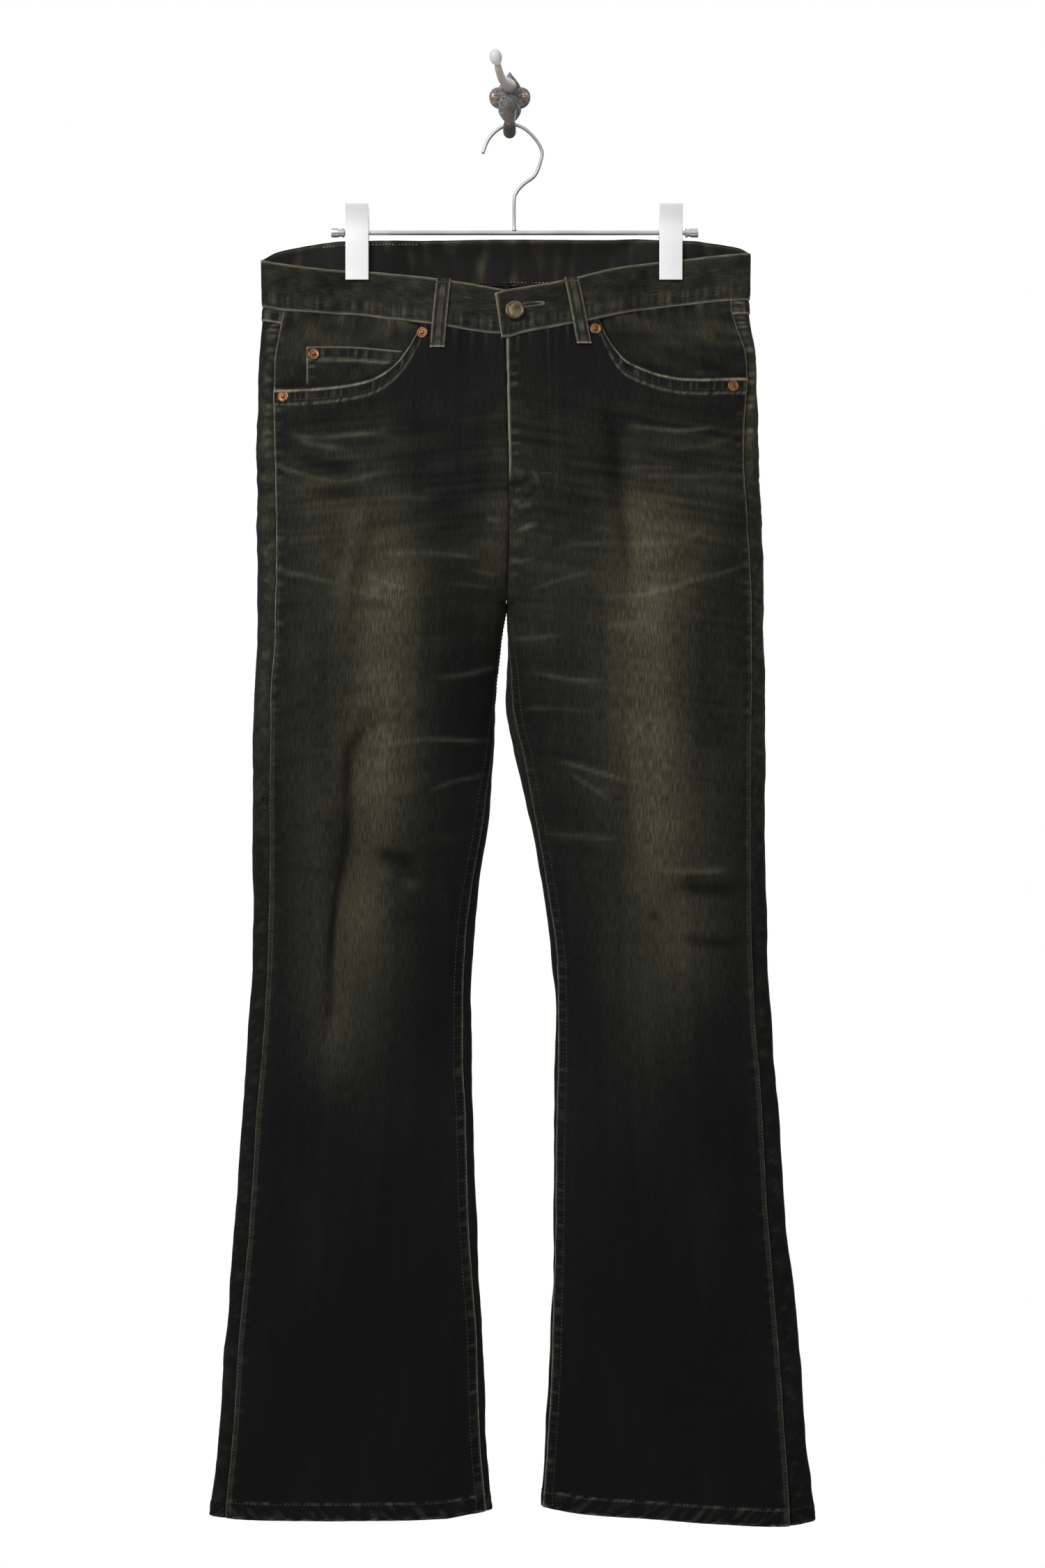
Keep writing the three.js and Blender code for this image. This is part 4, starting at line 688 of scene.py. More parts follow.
def cloth_base(side, face, x, z, around):
    """Relief, fade and wear that every large panel has: soft unevenness of two sizes, the worn creases
    with painted shade in their troughs, and the faded patches."""
    place = np.stack([around, z], axis=-1)
    seed = {"front": 10, "back": 30}[face] + (side == "left")
    lift = 0.55 * waves(place, seed, 60, 190) + 0.2 * waves(place, seed + 100, 16, 46)
    creased = crease_sums(face, x, z)[1]
    uneven = 0.9 + 0.35 * waves(place, seed + 200, 22, 90)
    # Crease marks above 0 are wear; below 0 they are painted shade in the troughs
    wear_and_shade = np.where(creased > 0, 0.185 * creased * uneven, 0.8 * creased)
    # Fine horizontal creasing from sitting, over the hips and fading down the thighs
    sloped = np.stack([x * 0.1, z + 0.1 * np.abs(x)], axis=-1)
    fine = waves(sloped, seed + 300, 6, 24)
    eased = 0.35 + 0.65 * smooth_step(*SITTING_EASES_Z[::-1], z)
    zone = smooth_step(*SITTING_STARTS_Z, z) * eased * smooth_step(*SITTING_ENDS_Z[::-1], z)
    lift = lift + 0.22 * zone * fine
    return lift, fade_sum(face, x, z) + 0.072 * zone * fine, wear_and_shade


def leg_seam(distance, z, seed, period, high, worn, breadth=12):
    """A seam with its allowance turned under this panel: a raised strip as wide as the allowance, a rolled
    edge worn pale, and puckers along it with wear on their crests and painted shade in their troughs. Returns
    the relief and the wear."""
    puckers = (ripple(z, period, seed) + ripple(z, period * 0.61, seed + 9)) * bump_at(distance, 4.5, 4)
    ridge = high * smooth_step(breadth + 1, breadth - 3, distance)
    patchy = np.clip(0.74 + 0.2 * ripple(z, 37, seed + 1) + 0.22 * ripple(z, 7.3, seed + 2), 0.2, 1.2)
    line = worn * patchy * bump_at(distance, 0.6, 0.65)
    return ridge + rolled(distance) + 0.2 * puckers, line + 0.07 * worn * puckers


def tucked(distance):
    """How far cloth sinks where it runs in under its neighbour: distance is below 0 there."""
    return -1.6 * smooth_step(0.6, -1.6, distance)


def turned_hem(side, from_side, z, above_hem, seeds, edge_wear=0):
    """Relief and wear of a hem turned up twice: slanting puckers, worn paler on their crests and with painted
    shade in their troughs, a groove under the stitches, a frayed foot and, by edge_wear, a paler upper edge.
    seeds are those of the puckers and of the fraying."""
    slant = waves(np.stack([from_side + 0.9 * above_hem, z * 0.4], -1), seeds[0] + SIGN[side], 5, 17)
    frayed = np.maximum(0, waves(np.stack([from_side, above_hem * 3], -1), seeds[1] + SIGN[side], 3, 26))
    turned_up = smooth_step(HEM_HEIGHT + 0.4, HEM_HEIGHT - 0.8, above_hem)
    lift = turned_up * (0.5 + 0.3 * slant) + rolled(above_hem, 1.1) - 0.35 * bump_at(above_hem, HEM_ROW, 1)
    wear_and_shade = 0.3 * frayed * bump_at(above_hem, 0.4, 1.4) + 0.03 * slant * turned_up
    return lift, wear_and_shade + edge_wear * (1 + slant) * bump_at(above_hem, HEM_HEIGHT - 0.2, 0.8)


def on_leg_at(z):
    """1 below the crotch and 0 on the body, with a short step between."""
    return smooth_step(CROTCH_Z + 20, CROTCH_Z - 10, z)


panels = {}
for side in SIDES:
    lapped_under = TUCK if side == "right" else 0
    columns = panel_columns(side, "front", False, False)
    waist = meet_edge(side, "front", columns, lambda x, angle: front_low[side](x))
    mouth = meet_edge(side, "front", columns, lambda x, angle: pocket_mouth[side](x))
    top = np.minimum(waist - SEAM_GAP, mouth)
    hem = hem_below(side, "front", columns)
    z = panel_heights(top, hem)
    angle, from_side, from_inner = at_height(columns, z)
    point, out = body_frame(side, "front", angle, z, lapped_under)
    x = point[..., 0]
    below_top = top - z
    above_hem = z - hem
    lift, fade, wear_and_shade = cloth_base(side, "front", x, z, from_side)

    at_hip = smooth_step(KNEE_Z, HIP_Z, z)
    side_lift, side_wear_and_shade = leg_seam(from_side, z, 3 + SIGN[side], 15, 0.6, 0.28 + 0.5 * at_hip)
    second_line = smooth_step(HIP_Z + 50, HIP_Z, z) * bump_at(from_side, 3.7, 0.5)
    side_wear_and_shade = side_wear_and_shade + 0.16 * second_line
    on_leg = on_leg_at(z)
    below_knee = smooth_step(KNEE_Z, SHIN_Z, z)
    in_lift, in_wear_and_shade = leg_seam(from_inner, z, 7 + SIGN[side], 8, 0.7, 0.4 + 0.34 * below_knee)
    lift = lift + side_lift + in_lift * on_leg
    wear_and_shade = wear_and_shade + side_wear_and_shade + in_wear_and_shade * on_leg

    # Above the crotch: the left panel's folded fly edge over its facing, or the right one's tucked edge
    on_body = 1 - on_leg
    if side == "left":
        lumps = ripple(z, 12, 17) * bump_at(from_inner, 6, 3.4) * smooth_step(-226, -240, z)
        fly = 0.9 * smooth_step(FLY_WIDTH + 1, FLY_WIDTH - 2, from_inner) + rolled(from_inner) + 0.5 * lumps
        lift = lift + on_body * fly
        pale = 0.62 * bump_at(from_inner, 0.8, 1.1) * smooth_step(-352, -326, z)
        # The lumps along the fly are worn paler on their crests and hold painted shade in their troughs
        wear_and_shade = wear_and_shade + on_body * (pale + 0.13 * lumps)
    else:
        lift = lift + on_body * (tucked(from_inner - TUCK - 1) + 0.2 * bump_at(from_inner, 12, 7))

    # The pocket mouth's turned and double-stitched edge, or puckers below the waistband
    cut_away = smooth_step(*MOUTH_STARTS_X, np.abs(x))
    gathers = ripple(from_side, 3.9, 19 + SIGN[side]) + 0.8 * ripple(from_side, 6.7, 21 + SIGN[side])
    gathers = gathers * bump_at(below_top, 6, 3.2)
    doubled = 0.75 * smooth_step(MOUTH_ALLOWANCE + 1, MOUTH_ALLOWANCE - 1.2, below_top)
    turned_in = doubled + rolled(below_top) + 0.2 * gathers
    mouth_line = 0.62 + 0.3 * ripple(from_side, 21, 22) + 0.2 * ripple(from_side, 5.1, 24)
    # The gathers under the mouth's edge are worn paler on their crests and hold painted shade in their
    # troughs
    gather_wear_and_shade = 0.1 * gathers + mouth_line * bump_at(below_top, 0.7, 0.9)
    lower_row = 0.18 * (1 + ripple(from_side, 7, 23)) * bump_at(below_top, MOUTH_ALLOWANCE + 0.2, 1.1)
    waist_puckers = ripple(x, 11, 29 + SIGN[side]) + ripple(x, 6.5, 27)
    waist_puckers = waist_puckers * np.exp(-np.maximum(below_top, 0) / 9)
    lift = lift + cut_away * turned_in + (1 - cut_away) * (tucked(below_top) + 0.15 * waist_puckers)
    # The puckers below the waistband likewise hold wear on their crests and painted shade in their troughs
    wear_and_shade = wear_and_shade + cut_away * (gather_wear_and_shade + lower_row) + (1 - cut_away) * 0.05 * waist_puckers
    wall = CLOTH_WALL * (1 + cut_away * smooth_step(MOUTH_ALLOWANCE + 0.5, MOUTH_ALLOWANCE - 0.5, below_top))

    hem_lift, hem_wear_and_shade = turned_hem(side, from_side, z, above_hem, (31, 37), 0.07)
    wall = np.where(above_hem < HEM_HEIGHT, 2 * CLOTH_WALL, wall)
    panels["front", side] = add_cloth(
        "front_" + side, point, out, lift + hem_lift, wall, (from_side, z), fade, wear_and_shade + hem_wear_and_shade,
        z=z, from_side=from_side, from_inner=from_inner, below_top=below_top, above_hem=above_hem)

# ---- Back panels and yokes. Each back panel wraps round the side and the inside leg onto the front, where
# its edges run in under the front panel's. The yoke is a shallow piece of the same denim between the
# waistband and the back panel, and is sewn down over it with two rows of stitching.
YOKE_SIDE_DROP = 12
YOKE_CENTRE_Z = -231
BAND_SAMPLE_Z = -205
BACK_BAND_HEIGHT = 40
SIDE_WEAR = {"right": 0, "left": 1}
BACK_TOP = ((-215, -149), (-203, -141.5), (-190, -137.9), (-171, -134.6), (-145, -132.6), (-120, -132),
            (-88, -129.6), (0, -127.6), (105, -129.2), (128, -131.6), (152, -131.9), (176, -133.6),
            (200, -138), (208, -143))
back_top = smooth_line(BACK_TOP)


def yoke_edge(side, x, angle):
    """Height of the yoke's lower edge: a straight slope from the side to the centre back, and level with
    the side where the yoke wraps onto the front."""
    edge_x = section["out_" + side](BAND_SAMPLE_Z)
    side_z = front_low[side](edge_x) - YOKE_SIDE_DROP
    slope = (YOKE_CENTRE_Z - side_z) / (inner_x(side, BAND_SAMPLE_Z) - edge_x)
    return np.where(angle < 0, front_low[side](x) - YOKE_SIDE_DROP, side_z + slope * (x - edge_x))


def back_relief(side, x, z, from_side, from_inner):
    """Relief, fade and wear that yoke and back panel share: the strip in front of the side seam's fold,
    with blotches over the seam allowance, the tucked seams and the lapped centre back."""
    lift, fade, wear_and_shade = cloth_base(side, "back", x, z, from_side)
    at_hip = smooth_step(-700, -460, z)
    blotch = waves(np.stack([from_side * 0.7, z], -1), 43 + SIGN[side], 5, 30) * bump_at(from_side, 8, 7)
    brighter = SIDE_WEAR[side]
    pocket_high = smooth_step(-350, -300, z)
    ticks = np.maximum(0, ripple(z, 5.6, 45 + SIGN[side])) * pocket_high * bump_at(from_side, 6, 4.5)
    lift = lift + tucked(from_side) + 0.3 * blotch - 0.5 * bump_at(from_side, 0.6, 1.4)
    wear_and_shade = wear_and_shade + (0.02 + 0.03 * at_hip) * np.maximum(0, blotch + 0.15) * (from_side > 0)
    wear_and_shade = wear_and_shade + (0.2 + 0.22 * brighter) * ticks
    fade = fade + (0.15 * at_hip + 0.2 * brighter * pocket_high) * bump_at(from_side, 8, 9)
    on_leg = on_leg_at(z)
    lift = lift + on_leg * (tucked(from_inner) - 0.5 * bump_at(from_inner, 0.6, 1.4))
    puckers = ripple(z, 9, 47 + SIGN[side])
    if side == "left":
        ridge = 0.7 * smooth_step(14, 10, from_inner) + rolled(from_inner)
        lift = lift + (1 - on_leg) * (ridge + 0.3 * puckers * bump_at(from_inner, 5, 5))
        # The puckers beside the lapped centre back are worn paler on their crests and hold painted shade in
        # their troughs
        worn = 0.5 * bump_at(from_inner, 0.8, 1) + 0.12 * puckers * bump_at(from_inner, 6, 5)
        wear_and_shade = wear_and_shade + (1 - on_leg) * worn
    else:
        lift = lift + (1 - on_leg) * tucked(from_inner - TUCK - 1)
    return lift, fade, wear_and_shade


YOKE_ROWS = 26
for side in SIDES:
    lapped_under = TUCK if side == "right" else 0
    columns = panel_columns(side, "back", True, True)
    seam = meet_edge(side, "back", columns, lambda x, angle: yoke_edge(side, x, angle))
    waist = meet_edge(side, "back", columns, lambda x, angle: np.where(
        angle < 0, front_low[side](x), back_top(x) - BACK_BAND_HEIGHT))
    hem = hem_below(side, "back", columns)
    z = panel_heights(seam - SEAM_GAP, hem)
    angle, from_side, from_inner = at_height(columns, z)
    angle = kept_to_body(angle, z)
    point, out = body_frame(side, "back", angle, z, lapped_under)
    below_top = seam - z
    above_hem = z - hem
    lift, fade, wear_and_shade = back_relief(side, point[..., 0], z, from_side, from_inner)
    hem_lift, hem_wear_and_shade = turned_hem(side, from_side, z, above_hem, (53, 57))
    lift = lift + tucked(below_top) + hem_lift
    wall = np.where(above_hem < HEM_HEIGHT, 2 * CLOTH_WALL, CLOTH_WALL)
    panels["back", side] = add_cloth(
        "back_" + side, point, out, lift, wall, (from_side, z), fade, wear_and_shade + hem_wear_and_shade,
        nodes=[f"back_{part}_{side}" for part in ("seat", "thigh", "shin")],
        from_inner=from_inner, above_hem=above_hem)

    share = np.linspace(0, 1, YOKE_ROWS + 1)
    z = waist + TUCK + (seam - waist - TUCK) * share
    angle, from_side, from_inner = at_height(columns, z)
    angle = kept_to_body(angle, z)
    point, out = body_frame(side, "back", angle, z, lapped_under)
    above_seam = z - seam
    lift, fade, wear_and_shade = back_relief(side, point[..., 0], z, from_side, from_inner)
    puckers = ripple(from_side, 10, 61 + SIGN[side]) * bump_at(above_seam, 5, 5)
    lift = lift + tucked(waist - z) + 0.3 * puckers
    lift = lift + 0.8 * smooth_step(13, 9, above_seam) + rolled(above_seam)
    # The puckers above the yoke seam are worn paler on their crests and hold painted shade in their troughs
    wear_and_shade = wear_and_shade + 0.55 * bump_at(above_seam, 0.8, 1) + 0.2 * puckers
    panels["yoke", side] = add_cloth(
        "yoke_" + side, point, out, lift, CLOTH_WALL, (from_side, z), fade, wear_and_shade,
        from_inner=from_inner, above_seam=above_seam)

# ---- Waistband. One strip of denim folded double, which starts in the lap over centre front, goes round
# by the wearer's left side and the back, and ends under the lap. It is sewn on over the panels' top edges.
BAND_MIDDLE_Z = -180
BAND_WALL = 2.6
BAND_PROUD = 0.8
LAP_RISE = 2.2
LAP_RISES_X = (36, 20)
UNDERLAP_SINK = 0.8
UNDERLAP_SINKS_X = (-34, -16)
LAP_END = (-6.8, -12.7)
UNDERLAP_END = 16
BAND_ROWS = 24
BAND_COLUMNS = 106


def angle_at(side, x, z):
    """The angle at which a side's surface reaches x."""
    outer = section["out_" + side](z)
    share = (x - outer) / (inner_x(side, z) - outer)
    return np.arccos(1 - 2 * np.clip(share, 0, 1))


def face_frame(face, x, z):
    """body_frame found by x, for what lies on the panels."""
    x, z = np.broadcast_arrays(np.asarray(x, float), np.asarray(z, float))
    found = {side: body_frame(side, face, angle_at(side, x, z), z) for side in SIDES}
    right = (x < centre_seam(z))[..., None]
    return tuple(np.where(right, found["right"][i], found["left"][i]) for i in (0, 1))


def band_edges(side, face, x):
    """Heights of the waistband's lower and upper edge at x. In front, its two ends differ where they lap."""
    if face == "back":
        return back_top(x) - BACK_BAND_HEIGHT, back_top(x)
    return front_low[side](x), front_top[side](x)


def even_angles(side, face, count):
    """Angles from the side to the centre, evenly spaced along the section at the waistband."""
    angle = np.linspace(0, np.pi, 500)
    step = np.linalg.norm(np.diff(body_point(side, face, angle, BAND_MIDDLE_Z), axis=0), axis=-1)
    arc = np.concatenate([[0], np.cumsum(step)])
    return np.interp(np.linspace(0, arc[-1], count), arc, angle)


up = np.linspace(0, 1, BAND_ROWS + 1)
up = up - 0.055 * np.sin(4 * np.pi * up)


def band_part(side, face, angle):
    """Frames of a part of the band whose columns lie at constant angles."""
    angle = np.broadcast_to(angle[:, None], (len(angle), len(up)))
    z = np.full(angle.shape, float(BAND_SAMPLE_Z))
    for _ in range(EDGE_PASSES):
        band_foot, band_head = band_edges(side, face, body_point(side, face, angle, z)[..., 0])
        z = band_foot + (band_head - band_foot) * up
    return body_frame(side, face, angle, z)


def lap_part(side, x):
    """Frames of an end of the band, whose columns lie at the x given for each row."""
    band_foot, band_head = band_edges(side, "front", x)
    return face_frame("front", x, band_foot + (band_head - band_foot) * up)


lap_share = np.array([0, 0.04, 0.1, 0.17, 0.26, 0.38, 0.5, 0.64, 0.8])[:, None]
lap_edge = LAP_END[0] + (LAP_END[1] - LAP_END[0]) * up
band_centre = centre_seam(-200.0)
lap_x = lap_edge + (band_centre + 0.2 - lap_edge) * lap_share
under_x = np.linspace(band_centre + 1, UNDERLAP_END, len(lap_share))[:, None] + np.zeros(len(up))
turns = {(side, face): even_angles(side, face, BAND_COLUMNS) for side in SIDES for face in ("front", "back")}
band_parts = [
    lap_part("left", lap_x),
    band_part("left", "front", turns["left", "front"][::-1]),
    band_part("left", "back", turns["left", "back"][1:]),
    band_part("right", "back", turns["right", "back"][::-1][1:]),
    band_part("right", "front", turns["right", "front"][1:]),
    lap_part("right", under_x),
]
lengths = [part[0].shape[0] for part in band_parts]
point = np.concatenate([part[0] for part in band_parts])
out = np.concatenate([part[1] for part in band_parts])
by_left = np.arange(len(point)) < lengths[0] + lengths[1]
by_right = np.arange(len(point)) >= len(point) - lengths[4] - lengths[5]
x, z = point[..., 0], point[..., 2]
steps = np.linalg.norm(np.diff(point[:, BAND_ROWS // 2], axis=0), axis=-1)
along = np.concatenate([[0], np.cumsum(steps)])[:, None] + np.zeros(len(up))
tall = np.linalg.norm(point[:, -1] - point[:, 0], axis=-1)[:, None]
above_foot = up * tall
below_head = tall - above_foot
lift = BAND_PROUD + np.where(by_left[:, None], LAP_RISE * smooth_step(*LAP_RISES_X, x), 0)
lift = lift - np.where(by_right[:, None], UNDERLAP_SINK * smooth_step(*UNDERLAP_SINKS_X, x), 0)
place = np.stack([along, z], axis=-1)
puckers = (ripple(along, 10, 67) + 0.6 * ripple(along, 6.3, 66)) * bump_at(above_foot, 8, 5)
lift = lift + rolled(above_foot, 1) + rolled(below_head, 1) + 0.25 * waves(place, 68, 26, 120)
lift = lift + 0.25 * puckers - 0.25 * bump_at(above_foot, 2.4, 0.9) - 0.25 * bump_at(below_head, 2.4, 0.9)
lift = lift + rolled(along, 1.1) + rolled(along[-1, 0] - along, 1.1)
patchy = 0.8 + 0.2 * ripple(along, 31, 69)
wear_and_shade = patchy * (0.62 * bump_at(above_foot, 0.4, 1) + 0.6 * bump_at(below_head, 0.4, 1.1))
wear_and_shade = wear_and_shade + 0.5 * bump_at(along, 0.3, 1.1) + 0.07 * np.maximum(0, puckers + 0.1)
ticks = np.maximum(0, ripple(along, 4.2, 65)) * bump_at(above_foot, 9, 4)
wear_and_shade = wear_and_shade + 0.08 * ticks
fade = 0.3 + 0.07 * waves(place, 71, 10, 60) + 0.07 * puckers + 0.04 * waves(place, 74, 4, 12)
standing = np.stack([along, z * 0.22 + along * 0.06], axis=-1)
inner_creases = waves(standing, 72, 9, 34)
# Painted highlight: the band's inner face is made paler along the crests of its creases and along a strip
# above its foot, through both the inside and inner wear marks
painted_crease_light = np.maximum(0, inner_creases - 0.2) + 0.3 * bump_at(above_foot, 6, 5) * (1 + ripple(along, 9, 73))
top_line = bump_at(below_head, 1.4, 1.3)
inside = np.clip(0.95 - 0.5 * painted_crease_light - 0.5 * top_line, 0, 1)
inner_wear_and_light = 0.1 * painted_crease_light + 0.22 * top_line
panels["band", ""] = add_cloth(
    "waistband", point, out, lift, BAND_WALL - 0.6 * inner_creases, (above_foot, along), fade, wear_and_shade,
    inside, inner_wear_and_light, along=along, above_foot=above_foot, below_head=below_head)

# ---- Hip pockets. Behind each curved mouth lies a facing of the same denim, and on the right one sits the
# small coin pocket, with its foot and inner end run in under the front panel. Only what shows is built.
FACING_IN = 3.5
FACING_RISE = 3.1
FACING_RISES_OVER = (8, 46)
FACING_BELOW = 18
FACING_LEAST = 10
FACING_INNER_X = 68
FACING_ROWS = 44


def facing_lift(side, x, z):
    """How far the facing lies below the body's face: FACING_IN at the mouth, rising to just below it."""
    above = z - pocket_mouth[side](x)
    return -FACING_IN + FACING_RISE * smooth_step(*FACING_RISES_OVER, above)


for side in SIDES:
    columns = panel_columns(side, "front", False, False)
    waist = meet_edge(side, "front", columns, lambda x, angle: front_low[side](x))
    mouth = meet_edge(side, "front", columns, lambda x, angle: pocket_mouth[side](x))
    angle = at_height(columns, waist)[0]
    kept = np.abs(body_point(side, "front", angle, waist)[:, 0, 0]) > FACING_INNER_X
    columns, waist, mouth = columns[:, :, kept], waist[kept], mouth[kept]
    foot = np.minimum(mouth, waist - SEAM_GAP - FACING_LEAST) - FACING_BELOW
    z = waist + TUCK + (foot - waist - TUCK) * np.linspace(0, 1, FACING_ROWS + 1)
    angle, from_side, _ = at_height(columns, z)
    point, out = body_frame(side, "front", angle, z)
    x = point[..., 0]
    place = np.stack([x, z], axis=-1)
    puckers = ripple(from_side, 12, 73 + SIGN[side]) * np.exp(-np.maximum(waist - z, 0) / 8)
    seam_lift, seam_wear_and_shade = leg_seam(from_side, z, 75 + SIGN[side], 12, 0.7, 0.5)
    # Beside the side seam it stays level with the panels down to the mouth
    beside_seam = smooth_step(14, 3, from_side) * smooth_step(-1, 5, z - mouth)
    level = np.maximum(facing_lift(side, x, z), -FACING_IN + FACING_RISE * beside_seam)
    lift = level - 0.9 * smooth_step(0.6, -1.6, waist - z) + 0.25 * puckers
    lift = lift + 0.3 * waves(place, 77 + SIGN[side], 24, 90) + np.minimum(seam_lift, 0.4)
    above_mouth = z - mouth
    # Painted shade: the facing is darkened within 10 mm above the mouth, where it sinks below the front
    # panel's edge
    shade = -0.6 * smooth_step(10, 1, above_mouth) * smooth_step(1.5, 5, from_side)
    slanting = waves(np.stack([x * 0.35 + z * 0.1, z], axis=-1), 79 + SIGN[side], 9, 44)
    fade = 0.22 + 0.14 * bump_at(above_mouth, 44, 16) + 0.07 * slanting
    # Its puckers are worn paler on their crests and hold painted shade in their troughs
    wear_and_shade = seam_wear_and_shade + 0.1 * puckers + shade
    panels["facing", side] = add_cloth(
        "pocket_facing_" + side, point, out, lift, CLOTH_WALL, (from_side, z), fade, wear_and_shade)

COIN_TOP = ((-176, -226.7), (-146, -225.6), (-120, -226.8), (-88, -231))
COIN_X = (-174, -89)
COIN_WALL = 0.9
COIN_BELOW = 12
COIN_SEAT = 0.75
COIN_COLUMNS = 46
COIN_ROWS = 26
coin_top = smooth_line(COIN_TOP)
across = np.linspace(0, 1, COIN_COLUMNS + 1)[:, None]
across = across - 0.1 * np.sin(2 * np.pi * across)
x = COIN_X[0] + (COIN_X[1] - COIN_X[0]) * across
head = coin_top(x)
foot = np.minimum(pocket_mouth["right"](x), head - 6) - COIN_BELOW
down = np.linspace(0, 1, COIN_ROWS + 1) ** 1.15
z = head + (foot - head) * down
x = x + np.zeros(z.shape)
point, out = face_frame("front", x, z)
from_edge, below_head = x - COIN_X[0], head - z
coin_puckers = ripple(z, 7, 83) * bump_at(from_edge, 5, 3) + ripple(x, 9, 84) * bump_at(below_head, 6, 3)
lift = facing_lift("right", x, z) + COIN_SEAT + COIN_WALL + rolled(from_edge, 0.7) + rolled(below_head, 0.7)
lift = lift + 0.35 * smooth_step(11.6, 10.4, below_head) + 0.22 * coin_puckers
wear_and_shade = 0.5 * bump_at(below_head, 0.5, 0.9) + 0.42 * bump_at(from_edge, 0.5, 0.9)
# The puckers are worn paler on their crests and hold painted shade in their troughs
wear_and_shade = wear_and_shade + 0.34 * bump_at(below_head, 11.8, 1.2) * (0.8 + 0.2 * ripple(x, 17, 85)) + 0.2 * coin_puckers
# Painted shade: the coin pocket is darkened within 9 mm above the hip pocket's mouth, where it sinks below
# the front panel's edge
wear_and_shade = wear_and_shade - 0.6 * smooth_step(9, 1, z - pocket_mouth["right"](x))
fade = 0.24 + 0.04 * waves(np.stack([x, z], axis=-1), 86, 12, 60)
panels["coin", ""] = add_cloth("coin_pocket", point, out, lift, COIN_WALL, (x, z), fade, wear_and_shade,
                               from_edge=from_edge, below_head=below_head)

# ---- Back patch pockets. Each is a plain five-sided piece of denim, hemmed along its top and sewn down
# round its other four edges onto the seat, with two rows of stitching.
PATCH_TOP_Z = -262
PATCH_IN_X = 42
PATCH_TOP_WIDTH = 140
PATCH_LOW_WIDTH = 124
PATCH_SIDE_HEIGHT = 132
PATCH_POINT = 20
PATCH_TILT = 5
PATCH_SEAT = 0.7
PATCH_HEM = 22
PATCH_GRID = 64
edge_share = (1 - np.cos(np.pi * np.linspace(0, 1, PATCH_GRID + 1))) / 2
even_share = np.linspace(0, 1, PATCH_GRID + 1)
patch_share = 0.35 * edge_share + 0.65 * even_share
for side in SIDES:
    u, v = np.meshgrid(patch_share, patch_share, indexing="ij")
    width = PATCH_TOP_WIDTH + (PATCH_LOW_WIDTH - PATCH_TOP_WIDTH) * v
    x = SIGN[side] * (PATCH_IN_X + PATCH_TOP_WIDTH / 2 + (u - 0.5) * width)
    height = PATCH_SIDE_HEIGHT + PATCH_POINT * (1 - np.abs(2 * u - 1))
    z = PATCH_TOP_Z + PATCH_TILT * u - height * v
    point, out = face_frame("back", x, z)
    from_head, from_foot = height * v, height * (1 - v)
    from_edges = np.minimum(np.minimum(u, 1 - u) * width, from_foot * 0.95)
    place = np.stack([x, z], axis=-1)
    puckers = ripple(z + x, 9, 89 + SIGN[side]) * bump_at(from_edges, 5, 3.6)
    seat_lift = cloth_base(side, "back", x, z, x)[0]
    lift = PATCH_SEAT + CLOTH_WALL + 0.35 * seat_lift + 0.2 * waves(place, 91 + SIGN[side], 20, 70)
    lift = lift + 0.5 * smooth_step(PATCH_HEM + 0.6, PATCH_HEM - 0.6, from_head) + rolled(from_head, 0.8)
    gaping = 1.1 * bump_at(from_head, 0, 14) * np.sin(np.pi * u)
    lift = lift + rolled(from_edges, 0.8) + 0.28 * puckers + gaping
    # The puckers round the edges are worn paler on their crests and hold painted shade in their troughs
    wear_and_shade = 0.5 * bump_at(from_edges, 0.6, 1) + 0.5 * bump_at(from_head, 0.5, 1) + 0.22 * puckers
    wear_and_shade = wear_and_shade + 0.2 * bump_at(from_head, PATCH_HEM, 1) + 0.03 * np.maximum(0, waves(place, 93, 14, 80))
    fade = fade_sum("back", x, z) + 0.1 + 0.04 * waves(place, 95 + SIGN[side], 20, 90)
    panels["patch", side] = add_cloth("back_pocket_" + side, point, out, lift, CLOTH_WALL, (x, z), fade, wear_and_shade,
                                      from_edges=from_edges, from_head=from_head)

